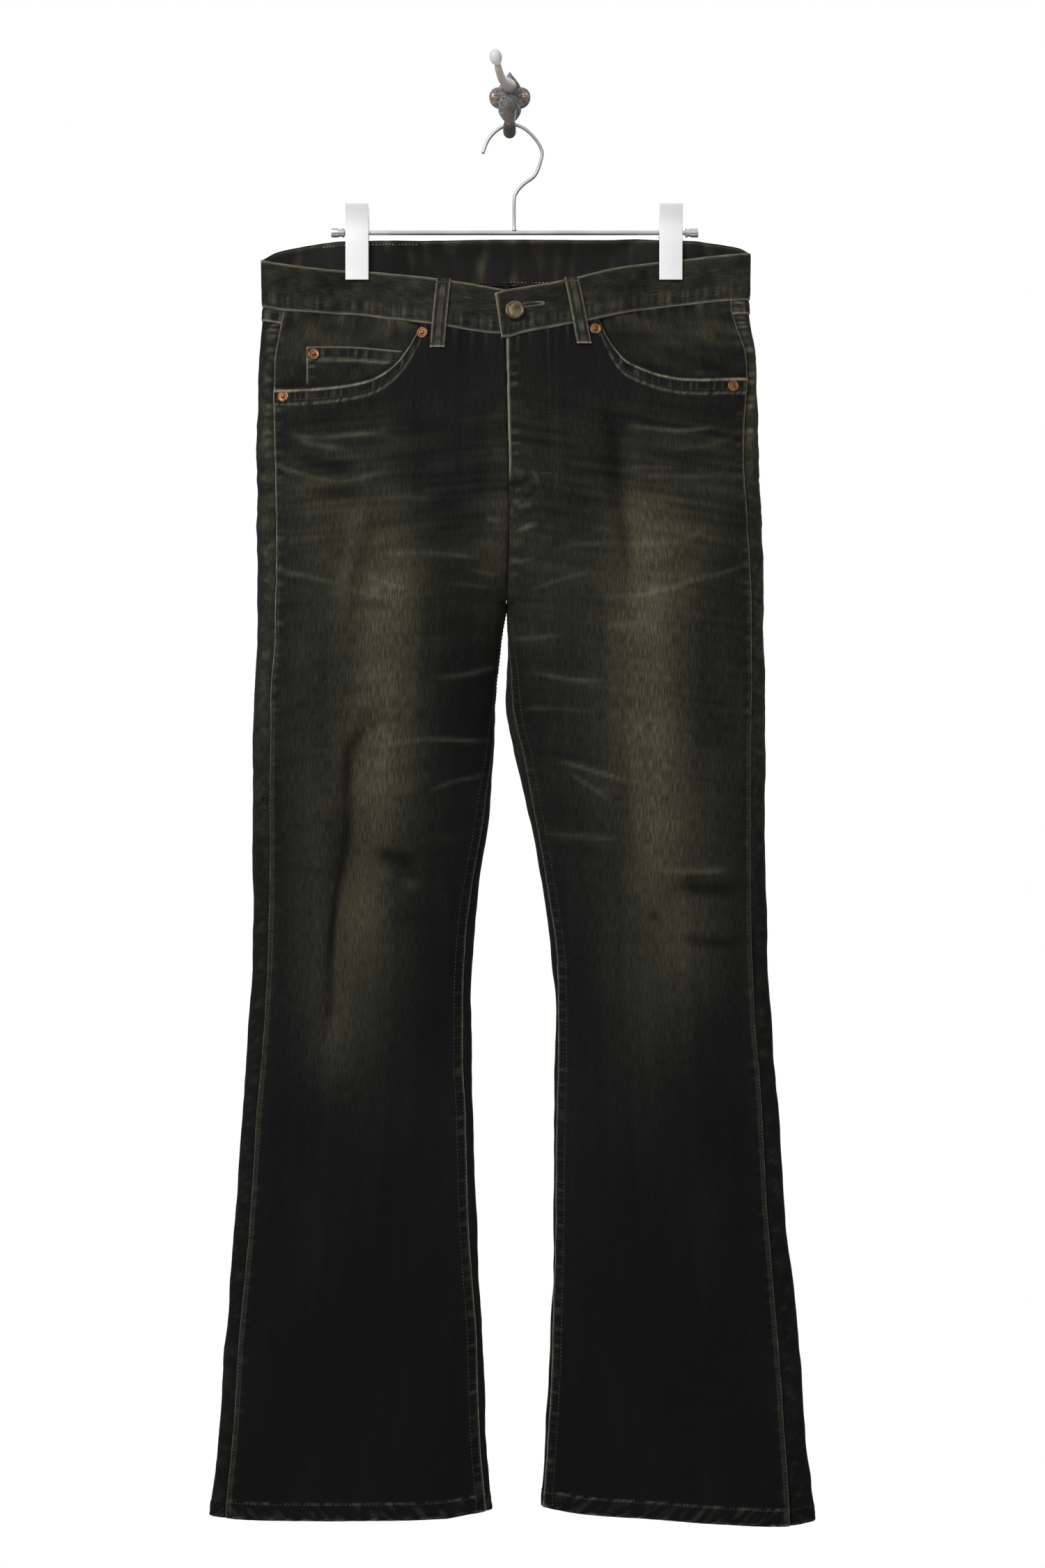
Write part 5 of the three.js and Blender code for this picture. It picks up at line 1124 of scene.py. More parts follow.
# ---- Belt loops. Each is a strip of denim folded to 12 mm with its raw edge inside, stitched along both
# sides, and bar-tacked at the waistband's top edge and 20 mm below its seam.
LOOP_WIDTH = 12.4
LOOP_WALL = 1.5
LOOP_BELOW = 20
LOOP_COLUMNS = 14
LOOP_ROWS = 56
LOOPS = (
    ("belt_loop_front_right", "front", -56.2, -61.6, "right"),
    ("belt_loop_front_left", "front", 53, 63.8, "left"),
    ("belt_loop_back_right", "back", -84, -86, "right"),
    ("belt_loop_back_left", "back", 82, 84, "left"),
    ("belt_loop_back_centre", "back", -2, -2, "right"),
)
for number, (name, face, top_x, low_x, side) in enumerate(LOOPS):
    head = band_edges(side, face, top_x)[1]
    band_foot = band_edges(side, face, low_x)[0]
    foot = band_foot - LOOP_BELOW
    across = (1 - np.cos(np.pi * np.linspace(0, 1, LOOP_COLUMNS + 1))) / 2
    u, v = np.meshgrid(across, np.linspace(0, 1, LOOP_ROWS + 1), indexing="ij")
    z = head + (foot - head) * v
    x = top_x + (low_x - top_x) * v + LOOP_WIDTH * (u - 0.5)
    point, out = face_frame(face, x, z)
    on_band = smooth_step(band_foot - 12, band_foot - 1.5, z)
    bow = 1.4 * np.sin(np.pi * np.clip((z - band_foot + 10) / (head - band_foot + 10), 0, 1))
    from_edge = LOOP_WIDTH * np.minimum(u, 1 - u)
    from_end = np.minimum(head - z, z - foot)
    lift = LOOP_WALL + SEAM_GAP + 0.1 + (BAND_PROUD + bow) * on_band + rolled(from_edge, 0.8)
    lift = lift + 0.3 * bump_at(from_edge, 3.6, 1.4) + 0.16 * ripple(z, 7, 101 + number)
    lift = lift - 0.4 * bump_at(from_end, 2.2, 1.6)
    wear_and_shade = 0.56 * bump_at(from_edge, 0.4, 0.8) * (0.8 + 0.2 * ripple(z, 9, 111 + number))
    wear_and_shade = wear_and_shade + 0.24 * bump_at(from_edge, 5.4, 1.4) * (0.6 + 0.5 * ripple(z, 16, 121 + number))
    wear_and_shade = wear_and_shade + 0.5 * bump_at(z, foot, 1.4)
    fade = 0.22 + 0.1 * ripple(z, 23, 131 + number)
    panels["loop", name] = add_cloth(name, point, out, lift, LOOP_WALL, (x, z), fade, wear_and_shade,
                                     from_edge=from_edge)

# ---- Sewing thread. Every row of topstitching is polyester thread, dyed dark and worn a little paler than
# the cloth. A stitch is a short spindle that dips into the cloth at both ends. Bar tacks and the
# buttonhole's edge are the same thread, laid close together across their line.
STITCH_PITCH = 3.3
STITCH_LENGTH = 2.6
THREAD_RADIUS = 0.27
TACK_PITCH = 0.75
TACK_POINTS = 12
SEAM_ROW = 2.3
SECOND_ROW = 8.8
FORWARD_Y = -0.3


def seam_row(panel, measure, value=0, by_rows=True, from_end=False):
    """Where a measure of a panel's grid first passes value: points and outward directions, one for each
    row of the grid, or for each column if by_rows is False. from_end looks from the grid's other end."""
    grids = [panel["surface"], panel["out"], (panel[measure] - value)[..., None]]
    if by_rows:
        grids = [np.swapaxes(grid, 0, 1) for grid in grids]
    if from_end:
        grids = [grid[:, ::-1] for grid in grids]
    off = grids[2][..., 0]
    passes = (off[:, :-1] <= 0) != (off[:, 1:] <= 0)
    line = np.flatnonzero(passes.any(axis=1))
    step = passes[line].argmax(axis=1)
    share = (off[line, step] / (off[line, step] - off[line, step + 1]))[:, None]
    return tuple(grid[line, step] * (1 - share) + grid[line, step + 1] * share for grid in grids[:2])


def kept_part(row, z_above=-2000, z_below=0, x_from=-300, x_to=300):
    """The part of a row that lies between those heights and widths."""
    point, out = row
    x, z = point[:, 0], point[:, 2]
    kept = (z > z_above) & (z < z_below) & (x > x_from) & (x < x_to)
    return point[kept], out[kept]


def laid_on(panel, x, z, kept):
    """A row through x, z on a panel's outer face: the plane of the nearest kept grid point is read there."""
    grid, out = panel["surface"][kept], panel["out"][kept]
    x, z = np.asarray(x, float), np.asarray(z, float)
    apart = (grid[:, 0] - x[:, None]) ** 2 + (grid[:, 2] - z[:, None]) ** 2
    nearest = apart.argmin(axis=1)
    base, way = grid[nearest], out[nearest]
    y = base[:, 1] - (way[:, 0] * (x - base[:, 0]) + way[:, 2] * (z - base[:, 2])) / way[:, 1]
    return np.stack([x, y, z], axis=-1), way


def cut_row(row, pitch=STITCH_PITCH, length=STITCH_LENGTH):
    """Starts, ends and outward directions of the stitches along a row."""
    point, out = row
    steps = np.linalg.norm(np.diff(point, axis=0), axis=1)
    arc = np.concatenate([[0], np.cumsum(steps)])

    def read(values, place):
        return np.stack([np.interp(place, arc, values[:, i]) for i in range(3)], axis=-1)
    start = np.arange(pitch / 2, arc[-1] - length, pitch)
    return read(point, start), read(point, start + length), read(out, start + length / 2)


def cut_tack(row, width):
    """Starts, ends and outward directions of threads laid across a row, as in a bar tack."""
    start, end, out = cut_row(row, TACK_PITCH, TACK_PITCH / 2)
    aside = np.cross(out, end - start)
    aside *= width / 2 / np.linalg.norm(aside, axis=1, keepdims=True)
    return start - aside, start + aside, out


def add_thread(name, stitches, finish, radius=THREAD_RADIUS):
    """One mesh of many stitches: each has two rings of four points and a tip at both ends."""
    start, end, out = (np.concatenate(part) for part in zip(*stitches))
    way = end - start
    aside = np.cross(way, out)
    aside *= radius / np.linalg.norm(aside, axis=1, keepdims=True)
    above = out * radius
    ring = [aside, above, -aside, -above]
    points = [start - above]
    for share in (0.22, 0.78):
        points += [start + way * share + above * 0.4 + part for part in ring]
    points.append(end - above)
    points = np.stack(points, axis=1)
    sides = [(1 + i, 1 + (i + 1) % 4, 5 + (i + 1) % 4, 5 + i) for i in range(4)]
    triangles = [(0, b, a) for a, b, _, _ in sides] + [(9, d, c) for _, _, c, d in sides]
    triangles += [(a, b, c) for a, b, c, _ in sides] + [(a, c, d) for a, _, c, d in sides]
    faces = np.array(triangles)[None] + 10 * np.arange(len(points))[:, None, None]
    return set_mesh(name, points, faces.reshape(-1, 3), finish, sharp_degrees=80)


def make_plain(name, dark, pale, grain_size, roughness, metallic=0.0, relief=0.1, depth=0.0001):
    """A finish that goes from dark to pale by a soft grain of that size in metres, with a fine relief."""
    finish = bpy.data.materials.new(name)
    finish.use_nodes = True
    tree = finish.node_tree
    shader = tree.nodes["Principled BSDF"]
    place = add_node(tree, "ShaderNodeTexCoord").outputs["Object"]
    noise = add_node(tree, "ShaderNodeTexNoise", {"Vector": place, "Scale": 1 / grain_size, "Detail": 4})
    grain = noise.outputs[0]
    ramp = add_node(tree, "ShaderNodeValToRGB", {0: grain})
    for element, position, colour in zip(ramp.color_ramp.elements, (0.36, 0.66), (dark, pale)):
        element.position = position
        element.color = (*colour, 1)
    bump = add_node(tree, "ShaderNodeBump", {"Height": grain, "Strength": relief, "Distance": depth})
    tree.links.new(ramp.outputs[0], shader.inputs["Base Color"])
    tree.links.new(bump.outputs[0], shader.inputs["Normal"])
    shader.inputs["Roughness"].default_value = roughness
    shader.inputs["Metallic"].default_value = metallic
    return finish


thread = make_plain("thread", (0.013, 0.012, 0.009), (0.06, 0.055, 0.04), 0.009, 0.75, relief=0.4)
dark_thread = make_plain("dark_thread", (0.005,) * 3, (0.014, 0.013, 0.011), 0.009, 0.75, relief=0.4)
edging_thread = make_plain("edging_thread", (0.03, 0.028, 0.022), (0.17, 0.15, 0.11), 0.012, 0.75,
                           relief=0.4)
worn_thread = make_plain("worn_thread", (0.16, 0.14, 0.1), (0.62, 0.56, 0.47), 0.012, 0.8, relief=0.4)
panel_rows, hem_rows, top_rows, fly_rows, tacks = [], [], [], [], []
for side in SIDES:
    front, back, yoke, patch = (panels[kind, side] for kind in ("front", "back", "yoke", "patch"))
    mouth_limits = {"right": (-300, -79), "left": (79, 300)}[side]
    panel_rows.append(kept_part(seam_row(front, "from_side", SEAM_ROW), z_below=-272))
    for inset in (SEAM_ROW, SECOND_ROW):
        panel_rows.append(kept_part(seam_row(front, "from_inner", inset), z_below=CROTCH_Z - 4))
        mouth_row = seam_row(front, "below_top", inset, by_rows=False)
        panel_rows.append(kept_part(mouth_row, x_from=mouth_limits[0], x_to=mouth_limits[1]))
        panel_rows.append(seam_row(yoke, "above_seam", inset, by_rows=False, from_end=True))
        if side == "left":
            panel_rows += [kept_part(seam_row(lower, "from_inner", inset), z_above=CROTCH_Z)
                           for lower in (back, yoke)]
    for lower in (front, back):
        hem_rows.append(seam_row(lower, "above_hem", HEM_ROW, by_rows=False, from_end=True))
    for inset in (SEAM_ROW, SECOND_ROW):
        for by_rows, from_end in ((True, False), (True, True), (False, True)):
            edge_row = seam_row(patch, "from_edges", inset, by_rows, from_end)
            top_rows.append(kept_part(edge_row, z_below=PATCH_TOP_Z - 3))
    top_rows.append(seam_row(patch, "from_head", PATCH_HEM - 2, by_rows=False))

band, coin = panels["band", ""], panels["coin", ""]
top_rows += [seam_row(band, "above_foot", SEAM_ROW, by_rows=False),
             seam_row(band, "below_head", SEAM_ROW, by_rows=False, from_end=True),
             seam_row(band, "along", SEAM_ROW),
             seam_row(coin, "from_edge", 2),
             seam_row(coin, "below_head", 2, by_rows=False),
             seam_row(coin, "below_head", 9.6, by_rows=False)]

# Fly: two rows down the left front that curve in to its edge by a quarter ellipse, given by its distance
# from the edge, the height at which it bends and its drop, and a bar tack at their bend
FLY_ROWS = ((42, -338, 43), (36, -334, 39))
FLY_TACK_WIDTH = 2.2
fly_panel = panels["front", "left"]
for from_edge, bend_z, drop in FLY_ROWS:
    fallen = np.clip((bend_z - fly_panel["z"]) / drop, 0, 0.999)
    fly_panel["past_row"] = fly_panel["from_inner"] - from_edge * np.sqrt(1 - fallen ** 2)
    fly_rows.append(kept_part(seam_row(fly_panel, "past_row"), z_above=bend_z - drop))
forward = fly_panel["out"][..., 1] < FORWARD_Y
for tack_ends in (((27, -338.7), (36, -338.7)), ((2.2, -366), (2.2, -376))):
    tack_line = np.linspace(*tack_ends, TACK_POINTS)
    tacks.append(cut_tack(laid_on(fly_panel, tack_line[:, 0], tack_line[:, 1], forward), FLY_TACK_WIDTH))

# Buttonhole: a slot with a round eye under the button, edged all round
HOLE_X, HOLE_Z = (11, 30), -192.6
round_turn = np.linspace(0, 2 * np.pi, 90)
hole_x = (HOLE_X[0] + HOLE_X[1]) / 2 + (HOLE_X[1] - HOLE_X[0]) / 2 * np.cos(round_turn)
hole_half = 1.5 + 0.9 * smooth_step(HOLE_X[0] + 7, HOLE_X[0] + 2, hole_x)
hole_z = HOLE_Z + 0.12 * (hole_x - HOLE_X[0]) + hole_half * np.sin(round_turn)
on_lap = by_left[:, None] & (band["out"][..., 1] < FORWARD_Y) & (band["surface"][..., 0] < 60)
hole_edge = [cut_tack(laid_on(band, hole_x, hole_z, on_lap), 2.3)]

for name, _, _, _, _ in LOOPS:
    loop = panels["loop", name]
    top_rows += [seam_row(loop, "from_edge", 2, from_end=from_end) for from_end in (False, True)]
    for place in (3, LOOP_ROWS - 3):
        inner = slice(1, LOOP_COLUMNS)
        tacks.append(cut_tack((loop["surface"][inner, place], loop["out"][inner, place]), 2.4))

for name, rows, finish in (("leg_and_yoke_stitches", panel_rows, thread), ("hem_stitches", hem_rows, thread),
                           ("pocket_and_band_stitches", top_rows, thread),
                           ("fly_stitches", fly_rows, dark_thread)):
    add_thread(name, [cut_row(row) for row in rows], finish)
add_thread("bar_tacks", tacks, thread, 0.3)
add_thread("buttonhole_edging", hole_edge, edging_thread, 0.36)

# Loose pale stitches on the inside of the back of the band, below its top edge and above its foot: the
# measure that each row follows, its value, whether it is sought from the top, and the row's ends in x
INSIDE_ROWS = (("below_head", 3.4, True, -164, -78), ("above_foot", 3, False, -60, 60))
LOOSE_PITCH = 3.1
LOOSE_LENGTH = 1.9
inner_face = {**band, "surface": band["surface"] - band["out"] * BAND_WALL, "out": -band["out"]}
loose = []
for measure, inset, from_top, x_from, x_to in INSIDE_ROWS:
    row = seam_row(inner_face, measure, inset, by_rows=False, from_end=from_top)
    row = kept_part(row, x_from=x_from, x_to=x_to)
    at_back = row[0][:, 1] > section["mid"](-160.0)
    loose.append(cut_row(tuple(part[at_back] for part in row), LOOSE_PITCH, LOOSE_LENGTH))
add_thread("inside_band_stitches", loose, worn_thread, 0.3)

# ---- Rivets and button. Copper rivets hold the pocket corners, and a plain shank button closes the lap.
# Both are pressed from thin metal: a rolled rim round a hollow, and for the rivet a nipple in its middle.
AROUND = 40
CURVE_STEPS = 24


def curve_through(stops, count):
    """Evenly spaced points on a smooth curve: between two stops runs a cubic whose slope at each is half
    the step between its neighbours."""
    stops = np.array(stops, float)
    ends = np.concatenate([[2 * stops[0] - stops[1]], stops, [2 * stops[-1] - stops[-2]]])
    a, b, c, d = (ends[i:len(ends) - 3 + i, None] for i in range(4))
    t = np.linspace(0, 1, CURVE_STEPS, endpoint=False)[None, :, None]
    curve = b + 0.5 * t * (c - a + t * (2 * a - 5 * b + 4 * c - d + t * (3 * (b - c) + d - a)))
    curve = np.concatenate([curve.reshape(-1, stops.shape[1]), stops[-1:]])
    arc = np.concatenate([[0], np.cumsum(np.linalg.norm(np.diff(curve, axis=0), axis=1))])
    even = np.linspace(0, arc[-1], count)
    return np.stack([np.interp(even, arc, column) for column in curve.T], axis=-1)


def swept(path, radii, level, around=AROUND):
    """Rings of a round bar along a path, whose first axis stays close to the direction level."""
    way = np.gradient(path, axis=0)
    way /= np.linalg.norm(way, axis=1, keepdims=True)
    level = np.array(level, float)
    first = level - way * (way @ level)[:, None]
    first /= np.linalg.norm(first, axis=1, keepdims=True)
    second = np.cross(way, first)
    turn = 2 * np.pi * np.arange(around) / around
    spoke = np.cos(turn)[:, None] * first[:, None] + np.sin(turn)[:, None] * second[:, None]
    return path[:, None] + np.asarray(radii, float).reshape(-1, 1, 1) * spoke


def turned(rows, place, way, around=AROUND):
    """Rings of a shape turned round the line from place along way, from rows of (radius, height)."""
    radius, height = np.array(rows, float).T
    way = np.array(way, float) / np.linalg.norm(way)
    first = np.cross(way, (0.2, 0.3, 1))
    first /= np.linalg.norm(first)
    second = np.cross(way, first)
    turn = 2 * np.pi * np.arange(around) / around
    spoke = np.cos(turn)[:, None] * first + np.sin(turn)[:, None] * second
    return np.asarray(place, float) + height[:, None, None] * way + radius[:, None, None] * spoke


def ring_faces(count, around, closed):
    """Triangles that join rings in a row. The ends are closed by fans round two last points, or the last
    ring joins the first."""
    index = np.arange(count * around).reshape(count, around)
    ahead = np.roll(index, -1, axis=0) if closed else index[1:]
    index = index if closed else index[:-1]
    quads = np.stack([index, np.roll(index, -1, 1), np.roll(ahead, -1, 1), ahead], axis=-1).reshape(-1, 4)
    triangles = [quads[:, [0, 1, 2]], quads[:, [0, 2, 3]]]
    if not closed:
        for ring, centre, flip in ((index[0], count * around, 1), (ahead[-1], count * around + 1, -1)):
            fan = np.stack([np.roll(ring, -1), ring, np.full(around, centre)], axis=-1)
            triangles.append(fan[:, ::flip])
    return np.concatenate(triangles)


def add_solid(name, parts, finish, nodes, closed=False, sharp_degrees=38):
    """One piece of several parts, each made of rings, that stands for the CAD nodes named."""
    points, faces, start = [], [], 0
    for rings in parts:
        count, around = rings.shape[:2]
        part = rings.reshape(-1, 3)
        if not closed:
            part = np.concatenate([part, rings[[0, -1]].mean(axis=1)])
        points.append(part)
        faces.append(ring_faces(count, around, closed) + start)
        start += len(part)
    points, faces = np.concatenate(points), np.concatenate(faces)
    piece = set_mesh(name, points, faces, finish, sharp_degrees=sharp_degrees)
    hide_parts(*nodes)
    return piece


RIVETS = (("rivet_mouth_right", -74.4, -216), ("rivet_hip_right", -193.2, -270),
          ("rivet_mouth_left", 73.4, -212.6), ("rivet_hip_left", 191.2, -260.6),
          ("rivet_coin", -167.6, -233.4))
RIVET_SEAT = 0.1
RIVET_OUTLINE = curve_through(((4.2, 0), (4.9, 0.35), (4.7, 1.05), (4, 1.25), (3, 0.85), (2.2, 0.75),
                               (1.8, 1.1), (1.55, 1.9), (0.9, 2.25), (0.15, 2.3)), 26)
copper = make_plain("copper", (0.1, 0.045, 0.02), (0.33, 0.16, 0.075), 0.004, 0.45, 0.85, 0.3)
for name, x, z in RIVETS:
    cloth = coin if name == "rivet_coin" else panels["front", "right" if x < 0 else "left"]
    place, way = (part[0] for part in laid_on(cloth, [x], [z], cloth["out"][..., 1] < FORWARD_Y))
    add_solid(name, [turned(RIVET_OUTLINE, place + way * RIVET_SEAT, way)], copper, [name])

BUTTON_PLACE = (4.6, -198.5)
BUTTON_OUTLINE = curve_through(((2.9, 0), (3, 1.4), (6.6, 2), (8, 2.4), (8.45, 3.1), (8.1, 3.9), (7.2, 4.45),
                                (6.4, 4.3), (5.6, 3.95), (4.6, 4.05), (2.6, 4.35), (0.3, 4.5)), 44)
brass = make_plain("aged_brass", (0.045, 0.032, 0.018), (0.165, 0.122, 0.07), 0.0045, 0.45, 0.8, 0.4)
place, way = face_frame("front", *BUTTON_PLACE)
button_seat = place + way * (BAND_PROUD + LAP_RISE + SEAM_GAP)
add_solid("button", [turned(BUTTON_OUTLINE, button_seat, way)], brass, ["button"])

# ---- Hanger. A polished steel rod with a bent wire hook welded to its middle and a turned cap on each end.
# The wire's tip is rounded and the hook rests in the wall hook's prong.
HANG_Y = -38
ROD_Z = -125.2
ROD_RADIUS = 2
ROD_ENDS = (-151, 160)
WIRE_RADIUS = 1.5
WIRE_STOPS = ((-23.4, -57.1), (-18.4, -44.8), (-10.6, -36.4), (-0.6, -31.5), (5.1, -31.8), (13.9, -36),
              (22.8, -44.8), (27.9, -54.7), (26.7, -63.7), (21.7, -75.7), (11.7, -83.5), (6.1, -90.2),
              (4.1, -97.1), (4.1, -122.9))
WIRE_LENGTH = 190
WELD_LENGTH = 4
WIRE_STEPS = 160
WIRE_AROUND = 24
ROD_STEPS = 24
CAP_OUTLINE = ((2.1, 0.5), (2.45, 0.3), (2.45, -8.2), (3.4, -8.5), (3.95, -8.1), (4, -6.6), (3.3, -6.1),
               (3.3, -4.2), (3.95, -3.8), (4, 1.8), (3.8, 2.6), (3.1, 3), (0.3, 3.05))
chrome = make_plain("chrome", (0.56, 0.56, 0.57), (0.72, 0.72, 0.71), 0.03, 0.3, 0.9, 0.03)
wire_steel = make_plain("wire_steel", (0.34, 0.34, 0.34), (0.5, 0.5, 0.49), 0.03, 0.38, 0.8, 0.03)

wire_line = curve_through([(x, HANG_Y, z) for x, z in WIRE_STOPS], WIRE_STEPS)
from_tip = np.linspace(0, 1, WIRE_STEPS) * WIRE_LENGTH
fallen = np.clip(1 - (from_tip + 0.2) / WIRE_RADIUS, 0, 1)
wire_radii = WIRE_RADIUS * np.sqrt(np.clip(1 - fallen ** 2, 0.05, 1))
wire_radii = wire_radii + 0.5 * smooth_step(WIRE_LENGTH - WELD_LENGTH, WIRE_LENGTH, from_tip)
wire = swept(wire_line, wire_radii, (0, 1, 0), WIRE_AROUND)
add_solid("hanger_hook", [wire], wire_steel, ["hanger_hook"])

rod_line = np.linspace((ROD_ENDS[0], HANG_Y, ROD_Z), (ROD_ENDS[1], HANG_Y, ROD_Z), ROD_STEPS)
rod = swept(rod_line, np.full(ROD_STEPS, ROD_RADIUS), (0, 1, 0))
add_solid("hanger_rod", [rod], chrome, ["hanger_rod"])
for side, rod_end in zip(SIDES, ROD_ENDS):
    cap = turned(CAP_OUTLINE, (rod_end, HANG_Y, ROD_Z), (SIGN[side], 0, 0))
    add_solid("end_cap_" + side, [cap], chrome, ["end_cap_" + side])

# ---- Clips. Each is two jaws of plated sheet steel with rounded edges, bent to clear a sleeve on the rod
# and pressed onto the waistband by the spring inside it. A grey rubber pad lines each jaw's foot.
CLIP_WIDTH = 20
JAW_WALL = 1.6
GRIP = PINCH_HALF + BAND_PROUD + 4 * SEAM_GAP
SLEEVE_RADIUS = 4.7
SLEEVE_HALF = 8.5
SLEEVE_CHAMFER = 0.4
SLEEVE_CLEAR = SLEEVE_RADIUS + SEAM_GAP
JAW_LINE = ((GRIP, -166.3), (GRIP, -155), (SLEEVE_CLEAR, -134), (SLEEVE_CLEAR, -117), (10.5, -102))
JAW_STEPS = 60
JAW_CORNER = 0.7
JAW_AROUND = 24
PAD_WALL = 1.0
PAD_ENDS = (-165.8, -157.5)
PAD_STEPS = 12
PAD_CORNER = 0.4
# Painted reflection: the clips' plating has a near-white base colour and no metal, standing in for the white
# room mirrored in it
steel_painted_reflection = make_plain("plated_steel_painted_reflection", (0.94, 0.94, 0.94), (0.98, 0.98, 0.98), 0.03, 0.4, 0.0, 0.03)
rubber = make_plain("pad_rubber", (0.16, 0.16, 0.16), (0.3, 0.3, 0.3), 0.004, 0.7, 0.0, 0.5)


def jaw_rings(line, clip_x, away, width, thick, corner):
    """Rings of a flat strip along a line of (distance from the rod's plane, z): at each point a rectangle
    with rounded corners, across the strip's width and thickness."""
    way = np.gradient(line, axis=0)
    upright = np.abs(way[:, 1:]) / np.linalg.norm(way, axis=1, keepdims=True)
    turn = 2 * np.pi * (np.arange(JAW_AROUND) + 0.5) / JAW_AROUND
    side_x = (width / 2 - corner) * np.sign(np.cos(turn)) + corner * np.cos(turn)
    side_n = (thick / 2 - corner) * np.sign(np.sin(turn)) + corner * np.sin(turn) + thick / 2
    near = HANG_Y + away * (line[:, :1] + upright * side_n)
    return np.stack(np.broadcast_arrays(clip_x + side_x, near, line[:, 1:]), axis=-1)


jaw_line = curve_through(JAW_LINE, JAW_STEPS)
pad_line = np.linspace((GRIP - PAD_WALL, PAD_ENDS[0]), (GRIP - PAD_WALL, PAD_ENDS[1]), PAD_STEPS)
half_sleeve = [(ROD_RADIUS + SEAM_GAP, SLEEVE_HALF), (SLEEVE_RADIUS - SLEEVE_CHAMFER, SLEEVE_HALF),
               (SLEEVE_RADIUS, SLEEVE_HALF - SLEEVE_CHAMFER)]
sleeve_outline = [(radius, -height) for radius, height in half_sleeve] + half_sleeve[::-1]
for side, clip_x in zip(SIDES, CLIP_X):
    pads = []
    for face, away in (("front", -1), ("back", 1)):
        name = f"clip_jaw_{face}_{side}"
        jaw = jaw_rings(jaw_line, clip_x, away, CLIP_WIDTH, JAW_WALL, JAW_CORNER)
        add_solid(name, [jaw], steel_painted_reflection, [name])
        pads.append(jaw_rings(pad_line, clip_x, away, CLIP_WIDTH - 1.6, PAD_WALL, PAD_CORNER))
    add_solid("clip_pads_" + side, pads, rubber, [])
    name = "clip_sleeve_" + side
    sleeve = turned(sleeve_outline, (clip_x, HANG_Y, ROD_Z), (1, 0, 0))
    add_solid(name, [sleeve], chrome, [name], closed=True)

# ---- Wall hook. An iron casting: a leaf-shaped plate with two lobes for its screws, a lower prong that the
# hanger hangs on, and an upper arm with a white glazed knob. It is rough, and worn where it is held.
PLATE_THICK = 4
# Cubic arcs of the plate's right half in x and z, and the plate's size by its height from the wall
PLATE_ARCS = (
    ((0, 22), (3.5, 17), (8, 13), (9.5, 8.5)), ((9.5, 8.5), (15, 8.5), (18, 4.5), (18, 0)),
    ((18, 0), (18, -6), (14, -9), (10, -10)), ((10, -10), (10.5, -15), (6, -19.5), (4.5, -21)),
    ((4.5, -21), (2, -21.3), (0.6, -21.4), (0, -21.4)),
)
PLATE_ROWS = ((1, 0), (1, 2.2), (0.985, 3), (0.94, 3.6), (0.86, 3.9), (0.6, 4.1), (0.3, 4.2), (0.05, 4.2))
PRONG_STOPS = ((-2, -10), (-14, -18), (-26, -31.6), (-38, -38.15), (-47, -35.2), (-50.5, -31))
PRONG_RADII = (7, 5.6, 4.8, 4.8, 5.6, 5)
ARM_STOPS = ((0, -2, 8), (-2, -16, 9), (-6, -34, 8), (-9, -50, 12), (-10.4, -56, 17))
ARM_RADII = (7, 5, 4, 3.4, 3)
BAR_STEPS = 60
BAR_TIP = (0.93, 1.03)
BARS_BEHIND_Y = -0.1
KNOB_SEAT = 0.7
KNOB_OUTLINE = curve_through(((3, 0), (3.6, 0.3), (5, 2.6), (5.7, 6), (5, 9.4), (3.2, 12), (0.2, 13)), 30)


def make_iron():
    """Cast iron by part: a speckled blue-grey plate, and in front of it a brown prong below and an arm
    pale above, the colour set by height. Rough patches of the same speckle show through on both."""
    finish = make_plain("cast_iron", (0.06, 0.057, 0.052), (0.3, 0.3, 0.3), 0.0016, 0.6, 0.1, 0.6, 0.0004)
    tree = finish.node_tree
    shader = tree.nodes["Principled BSDF"]
    speckled = shader.inputs["Base Color"].links[0].from_socket
    place = add_node(tree, "ShaderNodeTexCoord").outputs["Object"]
    split = add_node(tree, "ShaderNodeSeparateXYZ", {0: place})
    forward = add_node(tree, "ShaderNodeMapRange", {0: split.outputs[1], 1: -0.006, 2: -0.016, 4: 0.85})
    high = add_node(tree, "ShaderNodeMapRange", {0: split.outputs[2], 1: -0.008, 2: 0.003})
    brown, pale_above = (0.06, 0.046, 0.036, 1), (0.66, 0.6, 0.56, 1)
    bar = add_node(tree, "ShaderNodeMix", {0: high.outputs[0], 6: brown, 7: pale_above}, data_type="RGBA")
    mixed = add_node(tree, "ShaderNodeMix", {0: forward.outputs[0], 6: speckled, 7: bar.outputs[2]},
                     data_type="RGBA")
    tree.links.new(mixed.outputs[2], shader.inputs["Base Color"])
    return finish


iron = make_iron()
glaze = make_plain("white_glaze", (0.74, 0.72, 0.68), (0.9, 0.9, 0.88), 0.012, 0.14, 0.0, 0.03)

t = np.linspace(0, 1, 9)[:-1, None]
half_leaf = np.concatenate([
    (1 - t) ** 3 * start + 3 * t * (1 - t) ** 2 * leaving + 3 * t * t * (1 - t) * arriving + t ** 3 * end
    for start, leaving, arriving, end in (np.array(arc, float) for arc in PLATE_ARCS)])
leaf = np.concatenate([half_leaf, half_leaf[::-1][:-1] * (-1, 1)])
plate = np.stack([np.stack([leaf[:, 0] * size, np.full(len(leaf), -height), leaf[:, 1] * size], axis=-1)
                  for size, height in PLATE_ROWS])
along_bar = np.linspace(0, 1, BAR_STEPS)


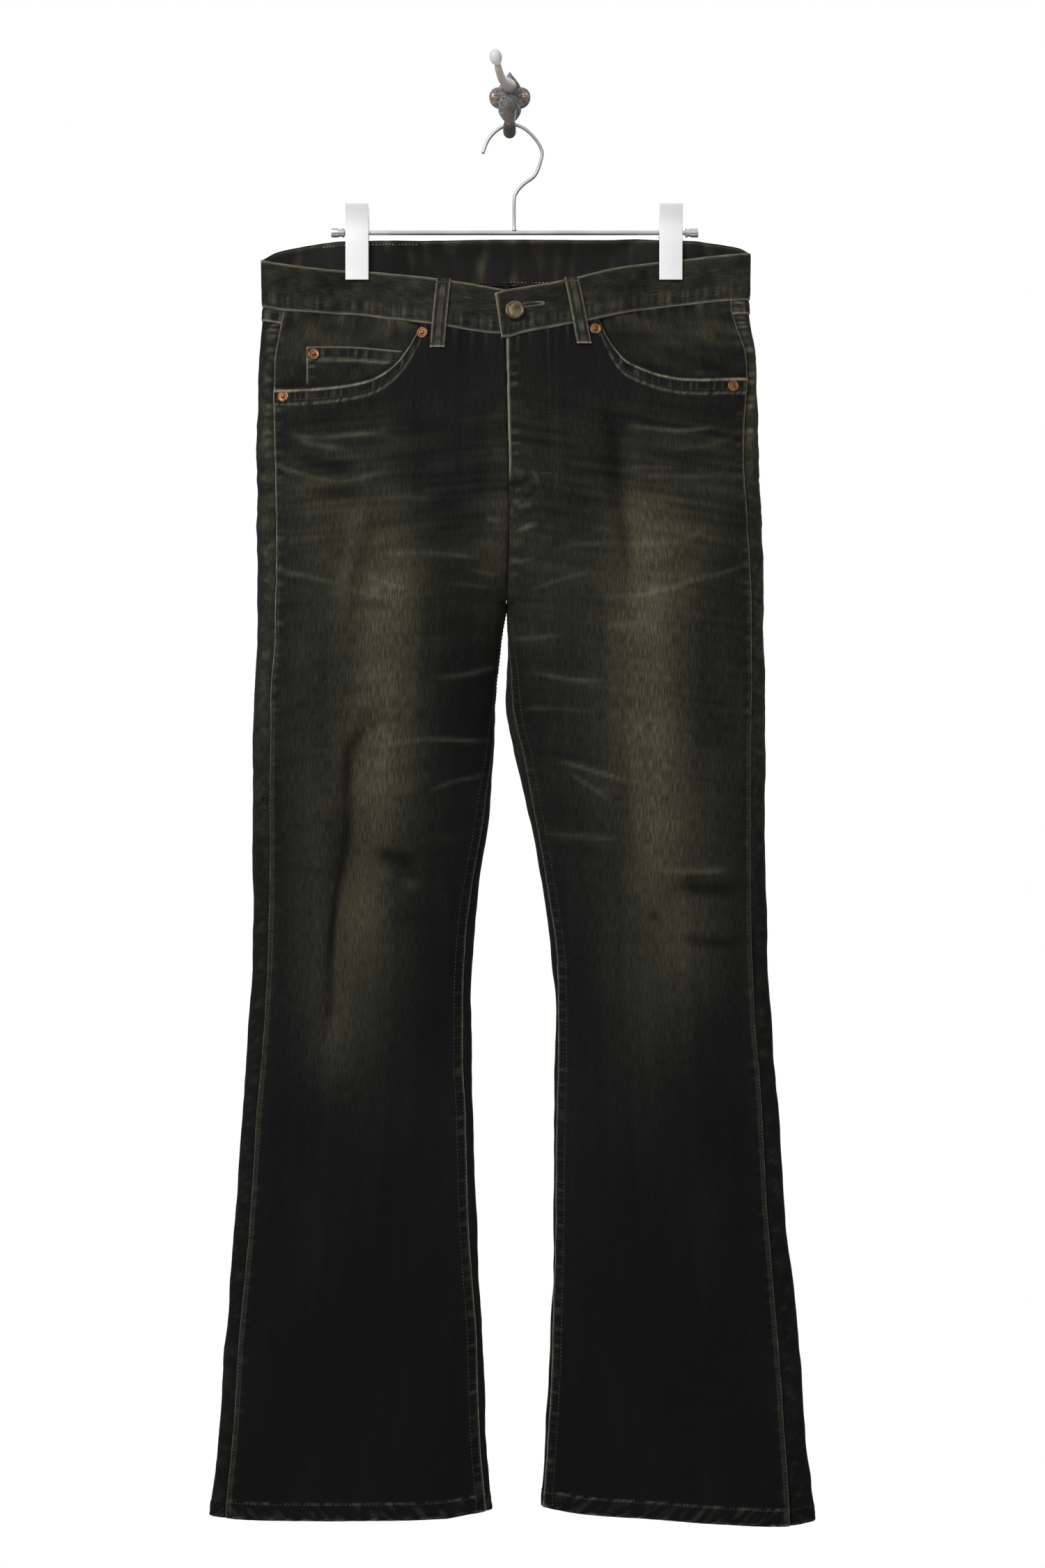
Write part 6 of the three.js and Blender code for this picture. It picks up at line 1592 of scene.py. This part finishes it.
def bar_of(stops, radii, level):
    """Rings of a bar through the stops. Its radius runs smoothly through the radii and rounds off the tip
    by a quarter circle."""
    line = curve_through(stops, BAR_STEPS)
    radius = smooth_line(list(zip(np.linspace(0, 1, len(radii)), radii)))(along_bar)
    rounded = np.sqrt(np.clip(1 - smooth_step(*BAR_TIP, along_bar) ** 2, 0.05, 1))
    return swept(line, radius * rounded, level)


prong = bar_of([(0, y, z) for y, z in PRONG_STOPS], PRONG_RADII, (1, 0, 0))
arm = bar_of(ARM_STOPS, ARM_RADII, (1, 0, 0))
clear_of_wall = (np.inf, BARS_BEHIND_Y, np.inf)
parts = [plate, np.minimum(prong, clear_of_wall), np.minimum(arm, clear_of_wall)]
add_solid("wall_hook", parts, iron, ["wall_hook"])

arm_way = np.subtract(ARM_STOPS[-1], ARM_STOPS[-2])
arm_way = arm_way / np.linalg.norm(arm_way)
knob = turned(KNOB_OUTLINE, ARM_STOPS[-1] + arm_way * KNOB_SEAT, arm_way)
add_solid("hook_knob", [knob], glaze, ["hook_knob"])

# Screw heads: a low dome whose cross slots are pressed in
screw_metal = make_plain("screw_metal", (0.3, 0.18, 0.14), (0.78, 0.58, 0.5), 0.0024, 0.45, 0.6, 0.3)
SCREW_X = 13
SCREW_RADIUS = 3.5
SCREW_DOME = 2.1
SLOT_DEPTH = 1.2
SLOT_SIDE = (0.62, 0.34)
SLOT_END = (2.3, 2)
SCREW_SEAT_Y = -PLATE_THICK - SEAM_GAP
turn = 2 * np.pi * np.arange(48) / 48
reach = np.linspace(SCREW_RADIUS, 0.1, 30)[:, None]
slot_x, slot_z = reach * np.cos(turn), reach * np.sin(turn)
across_slot = np.minimum(np.abs(slot_x), np.abs(slot_z))
along_slot = np.maximum(np.abs(slot_x), np.abs(slot_z))
dome = SCREW_DOME * np.sqrt(1 - (reach / SCREW_RADIUS) ** 2 * 0.96)
slot_depth = SLOT_DEPTH * smooth_step(*SLOT_SIDE, across_slot) * smooth_step(*SLOT_END, along_slot)
for side in SIDES:
    head = np.stack([SIGN[side] * SCREW_X + slot_x, SCREW_SEAT_Y - dome + slot_depth, slot_z], axis=-1)
    rim = head[:1] * (1, 0, 1) + (0, SCREW_SEAT_Y + 0.2, 0)
    add_solid("screw_" + side, [np.concatenate([rim, head])], screw_metal, ["screw_" + side])
